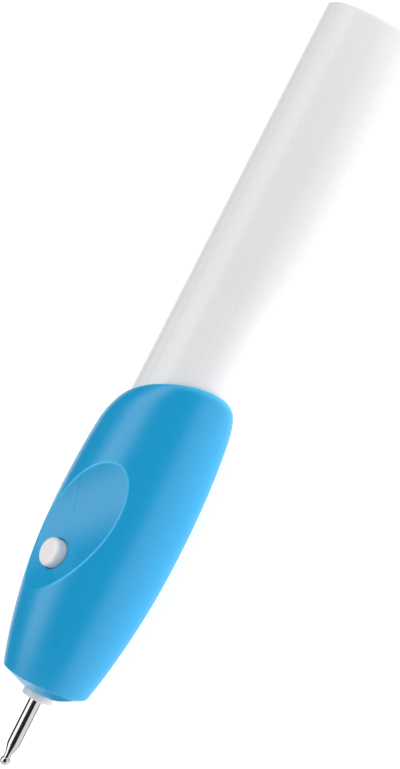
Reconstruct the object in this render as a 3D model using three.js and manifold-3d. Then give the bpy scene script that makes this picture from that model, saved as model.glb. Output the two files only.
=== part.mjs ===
// An electric engraving pen that runs on two small cells. All lengths are in millimetres.
// The pen lies along X with its bit towards -X and its push button on top, towards +Z.
// Places along the pen are stations, counted from the ball's tip, at 0, towards the rear.
// Heights and sides are counted from the axis of the battery tube.

import * as THREE from "three";
import { mergeVertices } from "three/addons/utils/BufferGeometryUtils.js";
import Module from "manifold-3d";

const wasm = await Module();
wasm.setup();

// Engraving bit
const ballDiameter = 1.96;
const neckDiameter = 1.4;
const neckLength = 0.8;
const bitTaperLength = 2.1;
const shankDiameter = 2.6;
const bitReach = 14.3; // ball tip to the face of the nose bush
const shankHeld = 17.5; // shank behind that face

// Nose bush
const bushProud = 1.6;
const bushRimDiameter = 6.3;
const bushNeckDiameter = 5.0;
const bushFlangeDiameter = 7.2;
const bushFlangeLength = 1.5;
const bushChamfer = 0.2;

// Grip, two half shells that meet on the plane y = 0
const noseFlatDiameter = 8.5;
const noseConeLength = 2.25;
const noseConeBulge = 0.02;
const noseDiameter = 17.72;
const noseTiltDegrees = 2.9; // the nose's edge leans forward at the top
const noseWall = 5.6; // nose face to the hollow
const noseToBelly = 33.85;
const bellyRise = 3.06; // belly beyond the lip of the rear mouth
const shoulderRise = 1.38; // outline beyond that lip where it would meet the rim
const frontFullness = 2.05; // power of the outline in front of the belly
const rearFullness = 2.2; // power of the outline behind it
const gripWall = 1.8;
const rimSlantDegrees = 28.0; // the rear mouth leans back on the -Y side
const rimTwistDegrees = 4.8; // turns the direction of that lean from -Y towards the top
const rimWidth = 0.35; // flat lip round the mouth
const shoulderRound = 5.1; // mean length of the rounded shoulder
const shoulderRoundChange = 2.8; // longer than the mean on the +Y side, shorter on the -Y side
const socketDepth = 9.2; // tube's front edge to the middle of the mouth
const spindleDrop = 1.25; // the bit's axis lies this far under the tube's axis
const ribThickness = 1.2;
const motorRibSetback = 2.0; // ends of the motor's can to the ribs that hold it

// Thumb recess, a skewed round cut
const recessRadius = 20.0;
const recessBehindButton = 4.15;
const recessSkewDegrees = 42.9;
const recessRollDegrees = 11.0;
const recessWall = 1.5;

// Push button and its switch
const buttonBehindNose = 23.4; // nose edge to the button's middle
const buttonDiameter = 5.8;
const buttonProud = 2.15; // above the recess's floor
const buttonTravel = 1.2;
const buttonFlangeDiameter = 7.6;
const buttonFlangeThickness = 1.8;
const buttonRound = 0.5;
const switchWidth = 6.0;
const switchHeight = 3.6;
const switchWall = 0.5;
const switchLift = 0.35; // above the coupler and the motor's boss
const switchTabProud = 1.4;
const cradleLength = 1.5;
const plungerDiameter = 2.6;
const plungerFootInset = 0.5; // foot to the switch's walls
const plungerFootThickness = 0.5;
const bridgeThickness = 0.2;
const switchSpringDiameter = 3.2;
const switchSpringWire = 0.26;
const switchSpringTurns = 2.5;

// Motor
const motorDiameter = 15.5;
const motorFlatHeight = 12.1;
const canLength = 14.85;
const endBellLength = 3.0;
const canWall = 0.5;
const motorBossDiameter = 4.6;
const motorBossLength = 1.4;
const motorBushDiameter = 3.6;
const motorBushLength = 1.8;
const shaftDiameter = 1.5;
const magnetSetback = 2.15; // ends of the can to the magnets
const coreInset = 1.5; // ends of the magnets to the armature's core
const coreDiameter = 9.4;
const poleCount = 3;
const poleStemWidth = 1.8;
const poleShoeThickness = 0.9;
const poleSlotDegrees = 26; // open slot between neighbouring shoes
const coilThickness = 0.9;
const coilDepth = 1.04; // from the hub to the pole shoes
const commutatorDiameter = 3.2;
const commutatorLength = 2.8;
const brushThickness = 0.3;
const brushWidth = 1.6;
const brushTerminalReach = 5.0; // motor's axis to the solder terminal
const terminalGap = 0.5; // solder terminal to the contact carrier

// Coupler between the motor's shaft and the bit
const couplerDiameter = 4.4;
const couplerWeb = 1.0; // solid nylon between the shaft and the bit

// Contact carrier and contacts
const carrierThickness = 1.4;
const carrierLip = 1.25; // how far the shells' rings overlap the carrier
const carrierRingLength = 0.8;
const contactThickness = 0.3;
const positivePlateDiameter = 6.0;
const tagWidth = 2.0;
const positiveTagHeight = 2.0;
const leafWidth = 3.0;
const leafHeight = 1.7; // from the negative tag down to the leaf's bend

// Cells, AAA size
const cellDiameter = 10.5;
const cellLength = 44.5;
const cellNubDiameter = 3.8;
const cellNubLength = 1.0;
const cellEdge = 0.4;
const cellCount = 2;

// Battery tube
const tubeFrontDiameter = 19.44;
const tubeDraft = 0.42; // the radius lost from the tube's front to its rear
const tubeWall = 1.3; // at the rear, where it is thinnest
const tubeEndWall = 1.6;
const tubeChamfer = 0.4; // guides the tube into its socket
const tubeRibSetback = 3.0; // tube's front edge to the ribs
const tubeEndRound = 1.1;
const tubeSetback = 1.6; // contact plate to the tube's front edge
const tubeRibWidth = 1.6;
const tubeRibCount = 4;
const rearSpringHeight = 3.45;
const rearSpringWire = 0.6;
const rearSpringTurns = 3.2;
const rearSpringSmallDiameter = 4.6;
const rearSpringLargeDiameter = 8.4;
const stripWidth = 3.0;

// Wires
const wireDiameter = 1.2;

// Clearances
const tubeClearance = 0.15;
const cellClearance = 0.3;
const buttonClearance = 0.2;
const bushClearance = 0.1;
const runningClearance = 0.1;
const magnetGap = 0.35; // between magnets and armature
const seatClearance = 0.2; // between a shell's rib and what it holds
const partGap = 0.3; // between neighbours that don't move
const touchGap = 0.05; // between faces that bear on each other
const pressGap = 0.01; // between pieces pressed together
const cutOver = 1; // how far a cut runs past the face that it opens

// Pins that line the shells up
const pinDiameter = 1.6;
const pinLength = 2.2;
const pinBossDiameter = 3.4;
const pinBehindNose = 10.75; // nose edge to the two front pins

// Numbers of flats round turned pieces, and of steps along wires
const bodyFacets = 28;
const buttonFacets = 24;
const cellFacets = 20;
const smallFacets = 16;
const cutFacets = 56;
const springFacets = 6;
const springStepsPerTurn = 14;
const wireFacets = 8;
const wireStepsPerPoint = 5;

// Stations along the pen
const bushFace = bitReach;
const noseFlat = bushFace + bushProud;
const noseEdge = noseFlat + noseConeLength;
const hollowFront = noseFlat + noseWall;
const bushRear = hollowFront + touchGap + bushFlangeLength;
const belly = noseEdge + noseToBelly;
const buttonStation = noseEdge + buttonBehindNose;
const switchFront = buttonStation - switchWidth / 2;
const switchRear = buttonStation + switchWidth / 2;
const motorFront = switchRear + partGap;
const canRear = motorFront + canLength;
const motorRear = canRear + endBellLength;
const carrierFront = motorRear + wireDiameter + partGap;
const carrierRear = carrierFront + carrierThickness;
const hollowRear = carrierFront - carrierRingLength;
const plateRear = carrierRear + contactThickness;
const cellsFront = plateRear + touchGap;
const cellsRear = cellsFront + cellCount * cellLength;
const tubeFront = plateRear + tubeSetback;
const tubeInnerEnd = cellsRear + rearSpringHeight;
const tubeEnd = tubeInnerEnd + tubeEndWall;
const rimStation = tubeFront + socketDepth;
const bitRear = bushFace + shankHeld;
const shaftFront = bitRear + couplerWeb;
const couplerFront = bushRear + 2 * partGap;
const couplerRear = motorFront - motorBossLength - partGap;

// Radii that several pieces share
const socketRadius = tubeFrontDiameter / 2 + tubeClearance;
const rimRadius = socketRadius + rimWidth;
const bellyRadius = rimRadius + bellyRise;
const shoulderRadius = rimRadius + shoulderRise;
const carrierRadius = socketRadius - tubeClearance;
const ringRadius = socketRadius - carrierLip;
const tubeRearRadius = tubeFrontDiameter / 2 - tubeDraft;
const tubeBoreRadius = tubeRearRadius - tubeWall;
const magnetOuter = motorDiameter / 2 - canWall - 2 * touchGap;
const coreRadius = coreDiameter / 2;
const shoeInner = coreRadius - poleShoeThickness;
const coilInside = poleStemWidth / 2 + partGap / 2;
const coilOutside = coilInside + coilThickness;
const coilTop = Math.sqrt((shoeInner - partGap / 2) ** 2 - coilOutside ** 2);
const coilBottom = coilTop - coilDepth;
const rimLean = Math.tan(THREE.MathUtils.degToRad(rimSlantDegrees));
const rimTwist = THREE.MathUtils.degToRad(rimTwistDegrees);
const noseLean = Math.tan(THREE.MathUtils.degToRad(noseTiltDegrees));

// Heights over the tube's axis. The recess clears the switch's stack and the wires over the motor.
const motorTop = motorFlatHeight / 2 - spindleDrop;
const switchBottom = Math.max(couplerDiameter, motorBossDiameter) / 2 - spindleDrop + switchLift;
const switchTop = switchBottom + switchHeight;
const flangeBottom = switchTop + buttonTravel + buttonClearance;
const flangeTop = flangeBottom + buttonFlangeThickness;
const recessCeiling = Math.max(flangeTop, motorTop + wireDiameter + partGap) + partGap;
const recessFloor = recessCeiling + recessWall;
const recessHeight = recessFloor + recessRadius;
const buttonTop = recessFloor + buttonProud;
const plungerFootTop = switchTop - switchWall - touchGap;
const plungerFootBottom = plungerFootTop - plungerFootThickness;
const bridgeBottom = plungerFootBottom - bridgeThickness;
const switchFloor = switchBottom + switchWall;
const leafDrop = ringRadius - 2 * partGap;
const negativeTagDrop = leafDrop - leafHeight;

const blue = plastic(0x1a93d0, 0.38);
const white = plastic(0xf0f0ee, 0.2);
const buttonWhite = plastic(0xeeedec, 0.35);
const nylon = plastic(0xe9e7df, 0.5);
const black = plastic(0x222326, 0.5);
const redSleeve = plastic(0xb82a24, 0.45);
const blackSleeve = plastic(0x1b1b1d, 0.45);
const yellowSleeve = plastic(0xd9b13a, 0.45);
const cellWrap = plastic(0x39414a, 0.35);
const steel = metal(0xc4c6c8, 0.25);
const canSteel = metal(0xa9acae, 0.35);
const tinned = metal(0xc9c7bf, 0.35);
const brass = metal(0xc9a24e, 0.35);
const bronze = metal(0x9a7a4a, 0.5);
const copper = metal(0xb5673a, 0.4);
const laminate = metal(0x6d7073, 0.5);
const ferrite = plastic(0x3a3a3c, 0.7);

function plastic(color, roughness) {
  return new THREE.MeshStandardMaterial({ color, roughness, metalness: 0 });
}

function metal(color, roughness) {
  return new THREE.MeshStandardMaterial({ color, roughness, metalness: 1 });
}

// Solids and geometries

function solidOf(geometry) {
  const bare = geometry.clone();
  bare.deleteAttribute("normal");
  bare.deleteAttribute("uv");
  const merged = mergeVertices(bare, 1e-5);
  const corners = merged.index.array;
  const faces = [];
  for (let i = 0; i < corners.length; i += 3) {
    const [a, b, c] = [corners[i], corners[i + 1], corners[i + 2]];
    if (a !== b && b !== c && c !== a) faces.push(a, b, c);
  }
  const vertProperties = new Float32Array(merged.attributes.position.array);
  return new wasm.Manifold(new wasm.Mesh({ numProp: 3, vertProperties, triVerts: new Uint32Array(faces) }));
}

function geometryOf(solid) {
  const { vertProperties, triVerts } = solid.getMesh();
  const geometry = new THREE.BufferGeometry();
  geometry.setAttribute("position", new THREE.BufferAttribute(new Float32Array(vertProperties), 3));
  geometry.setIndex(new THREE.BufferAttribute(new Uint32Array(triVerts), 1));
  return geometry;
}

function addPiece(parent, name, shape, material) {
  const geometry = shape.isBufferGeometry ? shape : geometryOf(shape);
  geometry.computeVertexNormals();
  const mesh = new THREE.Mesh(geometry, material);
  mesh.name = name;
  parent.add(mesh);
  return mesh;
}

// How far the corners of a regular outline reach when its flats lie at radius 1.
function flatReach(facets) {
  return 1 / Math.cos(Math.PI / facets);
}

// Turns a profile of [station, radius] pairs round X. reach scales the radii.
function turned(profile, facets, reach = 1) {
  const points = profile.map(([station, radius]) => new THREE.Vector2(radius * reach, station));
  const geometry = new THREE.LatheGeometry(points, facets, Math.PI / facets);
  const toZ = new THREE.Vector3(0, 0, 1);
  const toX = new THREE.Vector3(1, 0, 0);
  const toY = new THREE.Vector3(0, 1, 0);
  return geometry.applyMatrix4(new THREE.Matrix4().makeBasis(toZ, toX, toY));
}

function rod(front, rear, radius, facets = smallFacets, reach = 1) {
  return turned([[front, 0], [front, radius], [rear, radius], [rear, 0]], facets, reach);
}

// A ring whose bore has its flats at the inner radius.
function ring(front, rear, outer, inner, facets = smallFacets) {
  const bore = inner * flatReach(facets);
  return turned([[front, bore], [front, outer], [rear, outer], [rear, bore], [front, bore]], facets);
}

function hole(front, rear, radius, facets = smallFacets) {
  return solidOf(rod(front, rear, radius, facets, flatReach(facets)));
}

function post(station, y, bottom, top, radius, facets = smallFacets, reach = 1) {
  const geometry = new THREE.CylinderGeometry(radius * reach, radius * reach, top - bottom, facets);
  geometry.rotateX(Math.PI / 2);
  return geometry.translate(station, y, (bottom + top) / 2);
}

function crossPin(station, z, yLow, yHigh, radius) {
  const geometry = new THREE.CylinderGeometry(radius, radius, yHigh - yLow, smallFacets);
  return geometry.translate(station, (yLow + yHigh) / 2, z);
}

function block([x0, x1], [y0, y1], [z0, z1]) {
  const geometry = new THREE.BoxGeometry(x1 - x0, y1 - y0, z1 - z0);
  return geometry.translate((x0 + x1) / 2, (y0 + y1) / 2, (z0 + z1) / 2);
}

// Extrudes a shape drawn in [y, z] from one station to another.
function barAlongX(shape, front, rear, curveSegments = 10) {
  const options = { depth: rear - front, bevelEnabled: false, curveSegments };
  const geometry = new THREE.ExtrudeGeometry(shape, options);
  const toX = new THREE.Vector3(1, 0, 0);
  const toY = new THREE.Vector3(0, 1, 0);
  const toZ = new THREE.Vector3(0, 0, 1);
  geometry.applyMatrix4(new THREE.Matrix4().makeBasis(toY, toZ, toX));
  return geometry.translate(front, 0, 0);
}

// A strip of sheet metal whose middle line is drawn in two axes and whose width runs along the third.
function bentStrip(points, thickness, width) {
  const line = points.map(([a, b]) => new THREE.Vector2(a, b));
  const left = [];
  const right = [];
  line.forEach((point, i) => {
    const before = line[Math.max(i - 1, 0)];
    const after = line[Math.min(i + 1, line.length - 1)];
    const inward = (i > 0 ? point.clone().sub(before) : after.clone().sub(point)).normalize();
    const outward = (i < line.length - 1 ? after.clone().sub(point) : inward.clone()).normalize();
    const mitre = inward.clone().add(outward).normalize();
    const reach = thickness / 2 / Math.max(mitre.dot(inward), 0.3);
    const across = new THREE.Vector2(-mitre.y, mitre.x).multiplyScalar(reach);
    left.push(point.clone().add(across));
    right.push(point.clone().sub(across));
  });
  const shape = new THREE.Shape([...right, ...left.reverse()]);
  const geometry = new THREE.ExtrudeGeometry(shape, { depth: width, bevelEnabled: false });
  return geometry.translate(0, 0, -width / 2);
}

// The same strip with its line drawn in [station, z] and its width along Y.
function uprightStrip(points, thickness, width) {
  return bentStrip(points, thickness, width).rotateX(Math.PI / 2);
}

function roundSection(radius, sides) {
  const corners = [];
  for (let i = 0; i < sides; i++) {
    const angle = (2 * Math.PI * i) / sides;
    corners.push(new THREE.Vector2(radius * Math.cos(angle), radius * Math.sin(angle)));
  }
  return new THREE.Shape(corners);
}

function swept(curve, radius, sides, steps) {
  const options = { extrudePath: curve, steps, bevelEnabled: false };
  return new THREE.ExtrudeGeometry(roundSection(radius, sides), options);
}

class ConeHelix extends THREE.Curve {
  constructor(start, end, startRadius, endRadius, turns) {
    super();
    Object.assign(this, { start, end, startRadius, endRadius, turns });
  }

  getPoint(t, target = new THREE.Vector3()) {
    const angle = 2 * Math.PI * this.turns * t;
    const radius = THREE.MathUtils.lerp(this.startRadius, this.endRadius, t);
    const along = THREE.MathUtils.lerp(this.start, this.end, t);
    return target.set(along, radius * Math.cos(angle), radius * Math.sin(angle));
  }
}

// Outline of the grip

function gripRadius(station) {
  const inFront = station < belly;
  const edge = inFront ? noseDiameter / 2 : shoulderRadius;
  const reach = inFront ? belly - noseEdge : rimStation - belly;
  const fullness = inFront ? frontFullness : rearFullness;
  return bellyRadius - (bellyRadius - edge) * (Math.abs(station - belly) / reach) ** fullness;
}

// The grip's middle line sinks towards the nose, to the axis of the bit.
function gripDrop(station) {
  const share = THREE.MathUtils.clamp((belly - station) / (belly - noseEdge), 0, 1);
  return spindleDrop * share ** 2;
}

function stationsBetween(front, rear, count) {
  return Array.from({ length: count + 1 }, (_, i) => front + ((rear - front) * i) / count);
}

// Share of the nose's tilt at a station: none at the flat face, all at the nose's edge, none at the belly.
function noseTiltShare(station) {
  const inCone = THREE.MathUtils.clamp((station - noseFlat) / noseConeLength, 0, 1);
  return inCone * THREE.MathUtils.clamp((belly - station) / (belly - noseEdge), 0, 1) ** 2;
}

// Moves the turned form's rear rings back on the -Y side, rounds the shoulder, and tilts and sinks the nose.
function shapeGrip(geometry) {
  const position = geometry.attributes.position;
  for (let i = 0; i < position.count; i++) {
    const [station, y, z] = [position.getX(i), position.getY(i), position.getZ(i)];
    const radius = Math.hypot(y, z);
    const rearward = radius > 0 ? (z * Math.sin(rimTwist) - y * Math.cos(rimTwist)) / radius : 0;
    const share = THREE.MathUtils.clamp((station - belly) / (rimStation - belly), 0, 1);
    const lean = rimLean * rimRadius * rearward;
    const moved = station + lean * share - noseLean * z * noseTiltShare(station);
    let scale = 1;
    if (share > 0 && radius > 0) {
      const roundLength = shoulderRound - shoulderRoundChange * rearward;
      const toRim = THREE.MathUtils.clamp((rimStation + lean - moved) / roundLength, 0, 1);
      const roundness = Math.sqrt(1 - (1 - toRim) ** 2);
      const wanted = rimRadius + (gripRadius(moved) - rimRadius) * roundness;
      scale = (wanted * flatReach(bodyFacets)) / radius;
    }
    position.setXYZ(i, moved, y * scale, z * scale - gripDrop(moved));
  }
  return geometry;
}

function gripOutside() {
  const noseMiddle = (noseFlat + noseEdge) / 2;
  const profile = [
    [noseFlat, 0],
    [noseFlat, noseFlatDiameter / 2],
    [noseMiddle - noseConeBulge, (noseFlatDiameter + noseDiameter) / 4],
  ];
  for (const station of stationsBetween(noseEdge, belly, 7)) profile.push([station, gripRadius(station)]);
  const rearShares = [0.22, 0.42, 0.58, 0.7, 0.8, 0.88, 0.94, 0.98, 1];
  for (const share of rearShares) {
    const station = THREE.MathUtils.lerp(belly, rimStation, share);
    profile.push([station, gripRadius(station)]);
  }
  profile.push([rimStation, 0]);
  return solidOf(shapeGrip(turned(profile, bodyFacets, flatReach(bodyFacets))));
}

function gripHollow() {
  const profile = [[hollowFront, 0]];
  for (const station of stationsBetween(hollowFront, hollowRear, 9)) {
    profile.push([station, gripRadius(station) - gripWall]);
  }
  profile.push([hollowRear, 0]);
  return solidOf(shapeHollow(turned(profile, bodyFacets, flatReach(bodyFacets))));
}

function shapeHollow(geometry) {
  const position = geometry.attributes.position;
  for (let i = 0; i < position.count; i++) {
    position.setZ(i, position.getZ(i) - gripDrop(position.getX(i)));
  }
  return geometry;
}

// The round cutter of the thumb recess, larger by a wall where it shapes the inside.
function recessCutter(extra = 0) {
  const radius = recessRadius + extra;
  const cutter = new THREE.CylinderGeometry(radius, radius, 6 * bellyRadius, cutFacets);
  cutter.rotateZ(THREE.MathUtils.degToRad(recessSkewDegrees));
  cutter.translate(0, 0, recessHeight);
  cutter.rotateX(THREE.MathUtils.degToRad(recessRollDegrees));
  return solidOf(cutter.translate(buttonStation + recessBehindButton, 0, 0));
}

function motorOutline(clearance = 0) {
  const radius = motorDiameter / 2 + clearance;
  const flat = motorFlatHeight / 2 + clearance;
  const corner = Math.asin(flat / radius);
  const shape = new THREE.Shape();
  shape.absarc(0, 0, radius, -corner, corner, false);
  shape.absarc(0, 0, radius, Math.PI - corner, Math.PI + corner, false);
  return shape;
}

// Ribs, cradle and bosses that stand in the hollow
function gripFurniture() {
  const wide = 2 * bellyRadius;
  const axisHole = couplerDiameter / 2 + 2 * partGap;
  const cradleFront = switchFront - ribThickness;
  const side = switchWidth / 2;

  const cradleWall = solidOf(block([cradleFront, switchFront - touchGap], [-wide, wide], [-wide, wide]));
  const well = solidOf(post(buttonStation, 0, switchTop - partGap, flangeTop + partGap,
    buttonFlangeDiameter / 2 + partGap, smallFacets, flatReach(smallFacets)));
  const couplerHole = hole(cradleFront - cutOver, switchFront, axisHole).translate([0, 0, -spindleDrop]);
  let furniture = cradleWall.subtract(couplerHole);
  for (const hand of [-1, 1]) {
    const inner = hand * (side + touchGap);
    const ledge = hand * (couplerDiameter / 2 + partGap);
    const outer = hand * (side + ribThickness);
    const along = [cradleFront, switchFront + cradleLength];
    const upright = block(along, span(inner, outer), [switchBottom - ribThickness, switchTop]);
    const shelf = block(along, span(ledge, outer), [switchBottom - ribThickness, switchBottom - touchGap]);
    furniture = furniture.add(solidOf(upright)).add(solidOf(shelf));
  }

  const motorHole = solidOf(barAlongX(motorOutline(seatClearance), motorFront - cutOver, motorRear + cutOver))
    .translate([0, 0, -spindleDrop]);
  const motorSide = motorDiameter / 2;
  const wireWindow = solidOf(block([motorFront - cutOver, motorRear + cutOver],
    [-motorSide, motorSide], [0, motorTop + 2 * wireDiameter]));
  for (const station of [motorFront + motorRibSetback, canRear - motorRibSetback]) {
    const along = [station - ribThickness / 2, station + ribThickness / 2];
    const rib = solidOf(block(along, [-wide, wide], [-wide, wide]));
    furniture = furniture.add(rib.subtract(motorHole).subtract(wireWindow));
  }
  for (const [station, z] of pinPlaces()) {
    furniture = furniture.add(solidOf(crossPin(station, z, -wide, wide, pinBossDiameter / 2)));
  }
  return furniture.subtract(well);
}

function span(a, b) {
  return a < b ? [a, b] : [b, a];
}

// Where the shells' lining-up pins stand, as [station, z]
function pinPlaces() {
  const bossRadius = pinBossDiameter / 2;
  const frontStation = noseEdge + pinBehindNose;
  const underMotor = -spindleDrop - motorFlatHeight / 2 - seatClearance - bossRadius;
  return [
    [frontStation, couplerDiameter / 2 + bossRadius + 2 * partGap],
    [frontStation, -spindleDrop - couplerDiameter / 2 - bossRadius - 2 * partGap],
    [belly, underMotor],
    [motorRear - bossRadius, motorTop + 2 * wireDiameter + bossRadius + partGap],
  ];
}

function gripBody() {
  const hollow = gripHollow().subtract(recessCutter(recessWall)).subtract(gripFurniture());
  const bushNeck = hole(noseFlat - cutOver, hollowFront + cutOver, bushNeckDiameter / 2 + bushClearance)
    .translate([0, 0, -spindleDrop]);
  const groove = hole(carrierFront - touchGap, carrierRear + touchGap, socketRadius, bodyFacets);
  const rings = hole(hollowRear - cutOver, tubeFront, ringRadius, bodyFacets);
  const socket = hole(carrierRear + carrierRingLength, rimStation + 2 * rimRadius, socketRadius, bodyFacets);
  const buttonHole = solidOf(post(buttonStation, 0, switchTop, 2 * bellyRadius,
    buttonDiameter / 2 + buttonClearance, buttonFacets, flatReach(buttonFacets)));
  return gripOutside()
    .subtract(recessCutter())
    .subtract(hollow)
    .subtract(bushNeck)
    .subtract(groove)
    .subtract(rings)
    .subtract(socket)
    .subtract(buttonHole);
}

function buildGrip(parent) {
  const body = gripBody();
  const wide = 2 * bellyRadius;
  const leftSide = solidOf(block([-cutOver, tubeEnd], [-wide, 0], [-wide, wide]));
  const rightSide = solidOf(block([-cutOver, tubeEnd], [0, wide], [-wide, wide]));
  let left = body.intersect(leftSide);
  let right = body.intersect(rightSide);
  for (const [station, z] of pinPlaces()) {
    left = left.add(solidOf(crossPin(station, z, -cutOver, pinLength, pinDiameter / 2)));
    const pinHole = crossPin(station, z, -cutOver, pinLength + partGap, pinDiameter / 2 + runningClearance);
    right = right.subtract(solidOf(pinHole));
  }
  addPiece(parent, "grip_shell_left", left, blue);
  addPiece(parent, "grip_shell_right", right, blue);
}

// Nose bush, bit and coupler, on the spindle's axis

function buildNose(spindleLine) {
  const bore = (shankDiameter / 2 + runningClearance) * flatReach(smallFacets);
  const rim = bushRimDiameter / 2;
  const neck = bushNeckDiameter / 2;
  const flange = bushFlangeDiameter / 2;
  const flangeFront = hollowFront + touchGap;
  const profile = [
    [bushFace, bore],
    [bushFace, rim - bushChamfer],
    [bushFace + bushChamfer, rim],
    [noseFlat - touchGap, rim],
    [noseFlat - touchGap, neck],
    [flangeFront, neck],
    [flangeFront, flange],
    [bushRear, flange],
    [bushRear, bore],
    [bushFace, bore],
  ];
  addPiece(spindleLine, "nose_bush", turned(profile, smallFacets), white);
}

function buildBit(spindleLine) {
  const ball = ballDiameter / 2;
  const neck = neckDiameter / 2;
  const shank = shankDiameter / 2;
  const neckFront = ball + Math.sqrt(ball ** 2 - neck ** 2);
  const profile = [[0, 0]];
  const lastAngle = Math.PI - Math.asin(neck / ball);
  for (let i = 1; i <= 7; i++) {
    const angle = (lastAngle * i) / 7;
    profile.push([ball - ball * Math.cos(angle), ball * Math.sin(angle)]);
  }
  profile.push([neckFront + neckLength, neck]);
  profile.push([neckFront + neckLength + bitTaperLength, shank]);
  profile.push([bitRear, shank]);
  profile.push([bitRear, 0]);
  addPiece(spindleLine, "bit", turned(profile, smallFacets), steel);
}

function buildCoupler(spindleLine) {
  const body = solidOf(rod(couplerFront, couplerRear, couplerDiameter / 2));
  const bitBore = hole(couplerFront - cutOver, bitRear + touchGap, shankDiameter / 2 + touchGap);
  const shaftBore = hole(shaftFront - touchGap, couplerRear + cutOver, shaftDiameter / 2 + touchGap);
  addPiece(spindleLine, "coupler", body.subtract(bitBore).subtract(shaftBore), nylon);
}

// Motor

function buildMotorCase(spindleLine) {
  const boss = motorBossDiameter / 2;
  const bushSeat = motorBushDiameter / 2 + touchGap;
  const bossFront = motorFront - motorBossLength;
  const inside = solidOf(barAlongX(motorOutline(-canWall), motorFront + canWall, canRear + cutOver));
  const can = solidOf(barAlongX(motorOutline(), motorFront, canRear))
    .subtract(inside)
    .add(solidOf(rod(bossFront, motorFront + canWall, boss)))
    .subtract(hole(bossFront - cutOver, motorFront + 2 * canWall, bushSeat));
  addPiece(spindleLine, "motor_can", can, canSteel);

  const pocketRear = motorRear - motorBushLength;
  const pocketSide = brushTerminalReach + brushThickness + 2 * partGap;
  const pocket = solidOf(block([canRear - cutOver, pocketRear],
    [-pocketSide, pocketSide], [-brushWidth, brushWidth]));
  let endBell = solidOf(barAlongX(motorOutline(), canRear + touchGap, motorRear))
    .subtract(pocket)
    .subtract(hole(canRear - cutOver, motorRear + cutOver, bushSeat));
  for (const hand of [-1, 1]) {
    const innerSide = hand * (brushTerminalReach - brushThickness);
    const outerSide = hand * (brushTerminalReach + brushThickness);
    const slotHalf = brushWidth / 2 + touchGap;
    const slot = block([canRear, motorRear + cutOver], span(innerSide, outerSide), [-slotHalf, slotHalf]);
    endBell = endBell.subtract(solidOf(slot));
  }
  addPiece(spindleLine, "motor_end_bell", endBell, black);

  const bushBore = shaftDiameter / 2 + runningClearance;
  const bushRadius = motorBushDiameter / 2;
  addPiece(spindleLine, "motor_front_bush",
    ring(bossFront, bossFront + motorBushLength, bushRadius, bushBore), bronze);
  addPiece(spindleLine, "motor_rear_bush", ring(pocketRear, motorRear, bushRadius, bushBore), bronze);
}

function buildMagnets(spindleLine) {
  const inner = coreRadius + magnetGap;
  const half = Math.asin((motorFlatHeight / 2 - canWall - partGap) / magnetOuter);
  for (const [name, middle] of [["motor_magnet_left", Math.PI], ["motor_magnet_right", 0]]) {
    const shape = new THREE.Shape();
    shape.absarc(0, 0, magnetOuter, middle - half, middle + half, false);
    shape.absarc(0, 0, inner, middle + half, middle - half, true);
    const magnet = barAlongX(shape, motorFront + magnetSetback, canRear - magnetSetback, 8);
    addPiece(spindleLine, name, magnet, ferrite);
  }
}

function coreShape() {
  const hub = coilBottom - partGap / 2;
  const shoeHalf = Math.PI / poleCount - THREE.MathUtils.degToRad(poleSlotDegrees / 2);
  const hubHalf = Math.asin(poleStemWidth / 2 / hub);
  const stemHalf = Math.asin(poleStemWidth / 2 / shoeInner);
  const shape = new THREE.Shape();
  for (let pole = 0; pole < poleCount; pole++) {
    const middle = (2 * Math.PI * pole) / poleCount;
    const next = (2 * Math.PI * (pole + 1)) / poleCount;
    shape.absarc(0, 0, shoeInner, middle - stemHalf, middle - shoeHalf, true);
    shape.absarc(0, 0, coreRadius, middle - shoeHalf, middle + shoeHalf, false);
    shape.absarc(0, 0, shoeInner, middle + shoeHalf, middle + stemHalf, true);
    shape.absarc(0, 0, hub, middle + hubHalf, next - hubHalf, false);
  }
  return shape;
}

function buildArmature(spindleLine) {
  const shaftRear = motorRear - touchGap;
  addPiece(spindleLine, "motor_shaft", rod(shaftFront, shaftRear, shaftDiameter / 2), steel);

  const coreFront = motorFront + magnetSetback + coreInset;
  const coreRear = canRear - magnetSetback - coreInset;
  const seat = shaftDiameter / 2 + touchGap;
  const core = solidOf(barAlongX(coreShape(), coreFront, coreRear, 4))
    .subtract(hole(coreFront - cutOver, coreRear + cutOver, seat));
  addPiece(spindleLine, "armature_core", core, laminate);

  const openingFront = coreFront - partGap / 2;
  const openingRear = coreRear + partGap / 2;
  for (let pole = 0; pole < poleCount; pole++) {
    const name = `armature_coil_${"abcdef"[pole]}`;
    const opening = block([openingFront, openingRear], [0, coilTop + cutOver], [-coilInside, coilInside]);
    const winding = block([openingFront - coilThickness, openingRear + coilThickness],
      [coilBottom, coilTop], [-coilOutside, coilOutside]);
    const coil = addPiece(spindleLine, name, solidOf(winding).subtract(solidOf(opening)), copper);
    coil.rotation.x = (2 * Math.PI * pole) / poleCount;
  }

  const commutatorRear = motorRear - motorBushLength - partGap;
  const commutatorFront = commutatorRear - commutatorLength;
  addPiece(spindleLine, "commutator",
    ring(commutatorFront, commutatorRear, commutatorDiameter / 2, seat), copper);

  const fingerSide = commutatorDiameter / 2 + partGap / 2 + brushThickness / 2;
  const linkStation = motorRear - motorBushLength - brushThickness;
  const brushLine = [
    [commutatorFront + partGap, fingerSide],
    [linkStation, fingerSide],
    [linkStation, brushTerminalReach],
    [carrierFront - terminalGap, brushTerminalReach],
  ];
  const mirrored = brushLine.map(([station, side]) => [station, -side]);
  addPiece(spindleLine, "motor_brush_right", bentStrip(brushLine, brushThickness, brushWidth), brass);
  addPiece(spindleLine, "motor_brush_left", bentStrip(mirrored, brushThickness, brushWidth), brass);
}

// Button and switch

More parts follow.
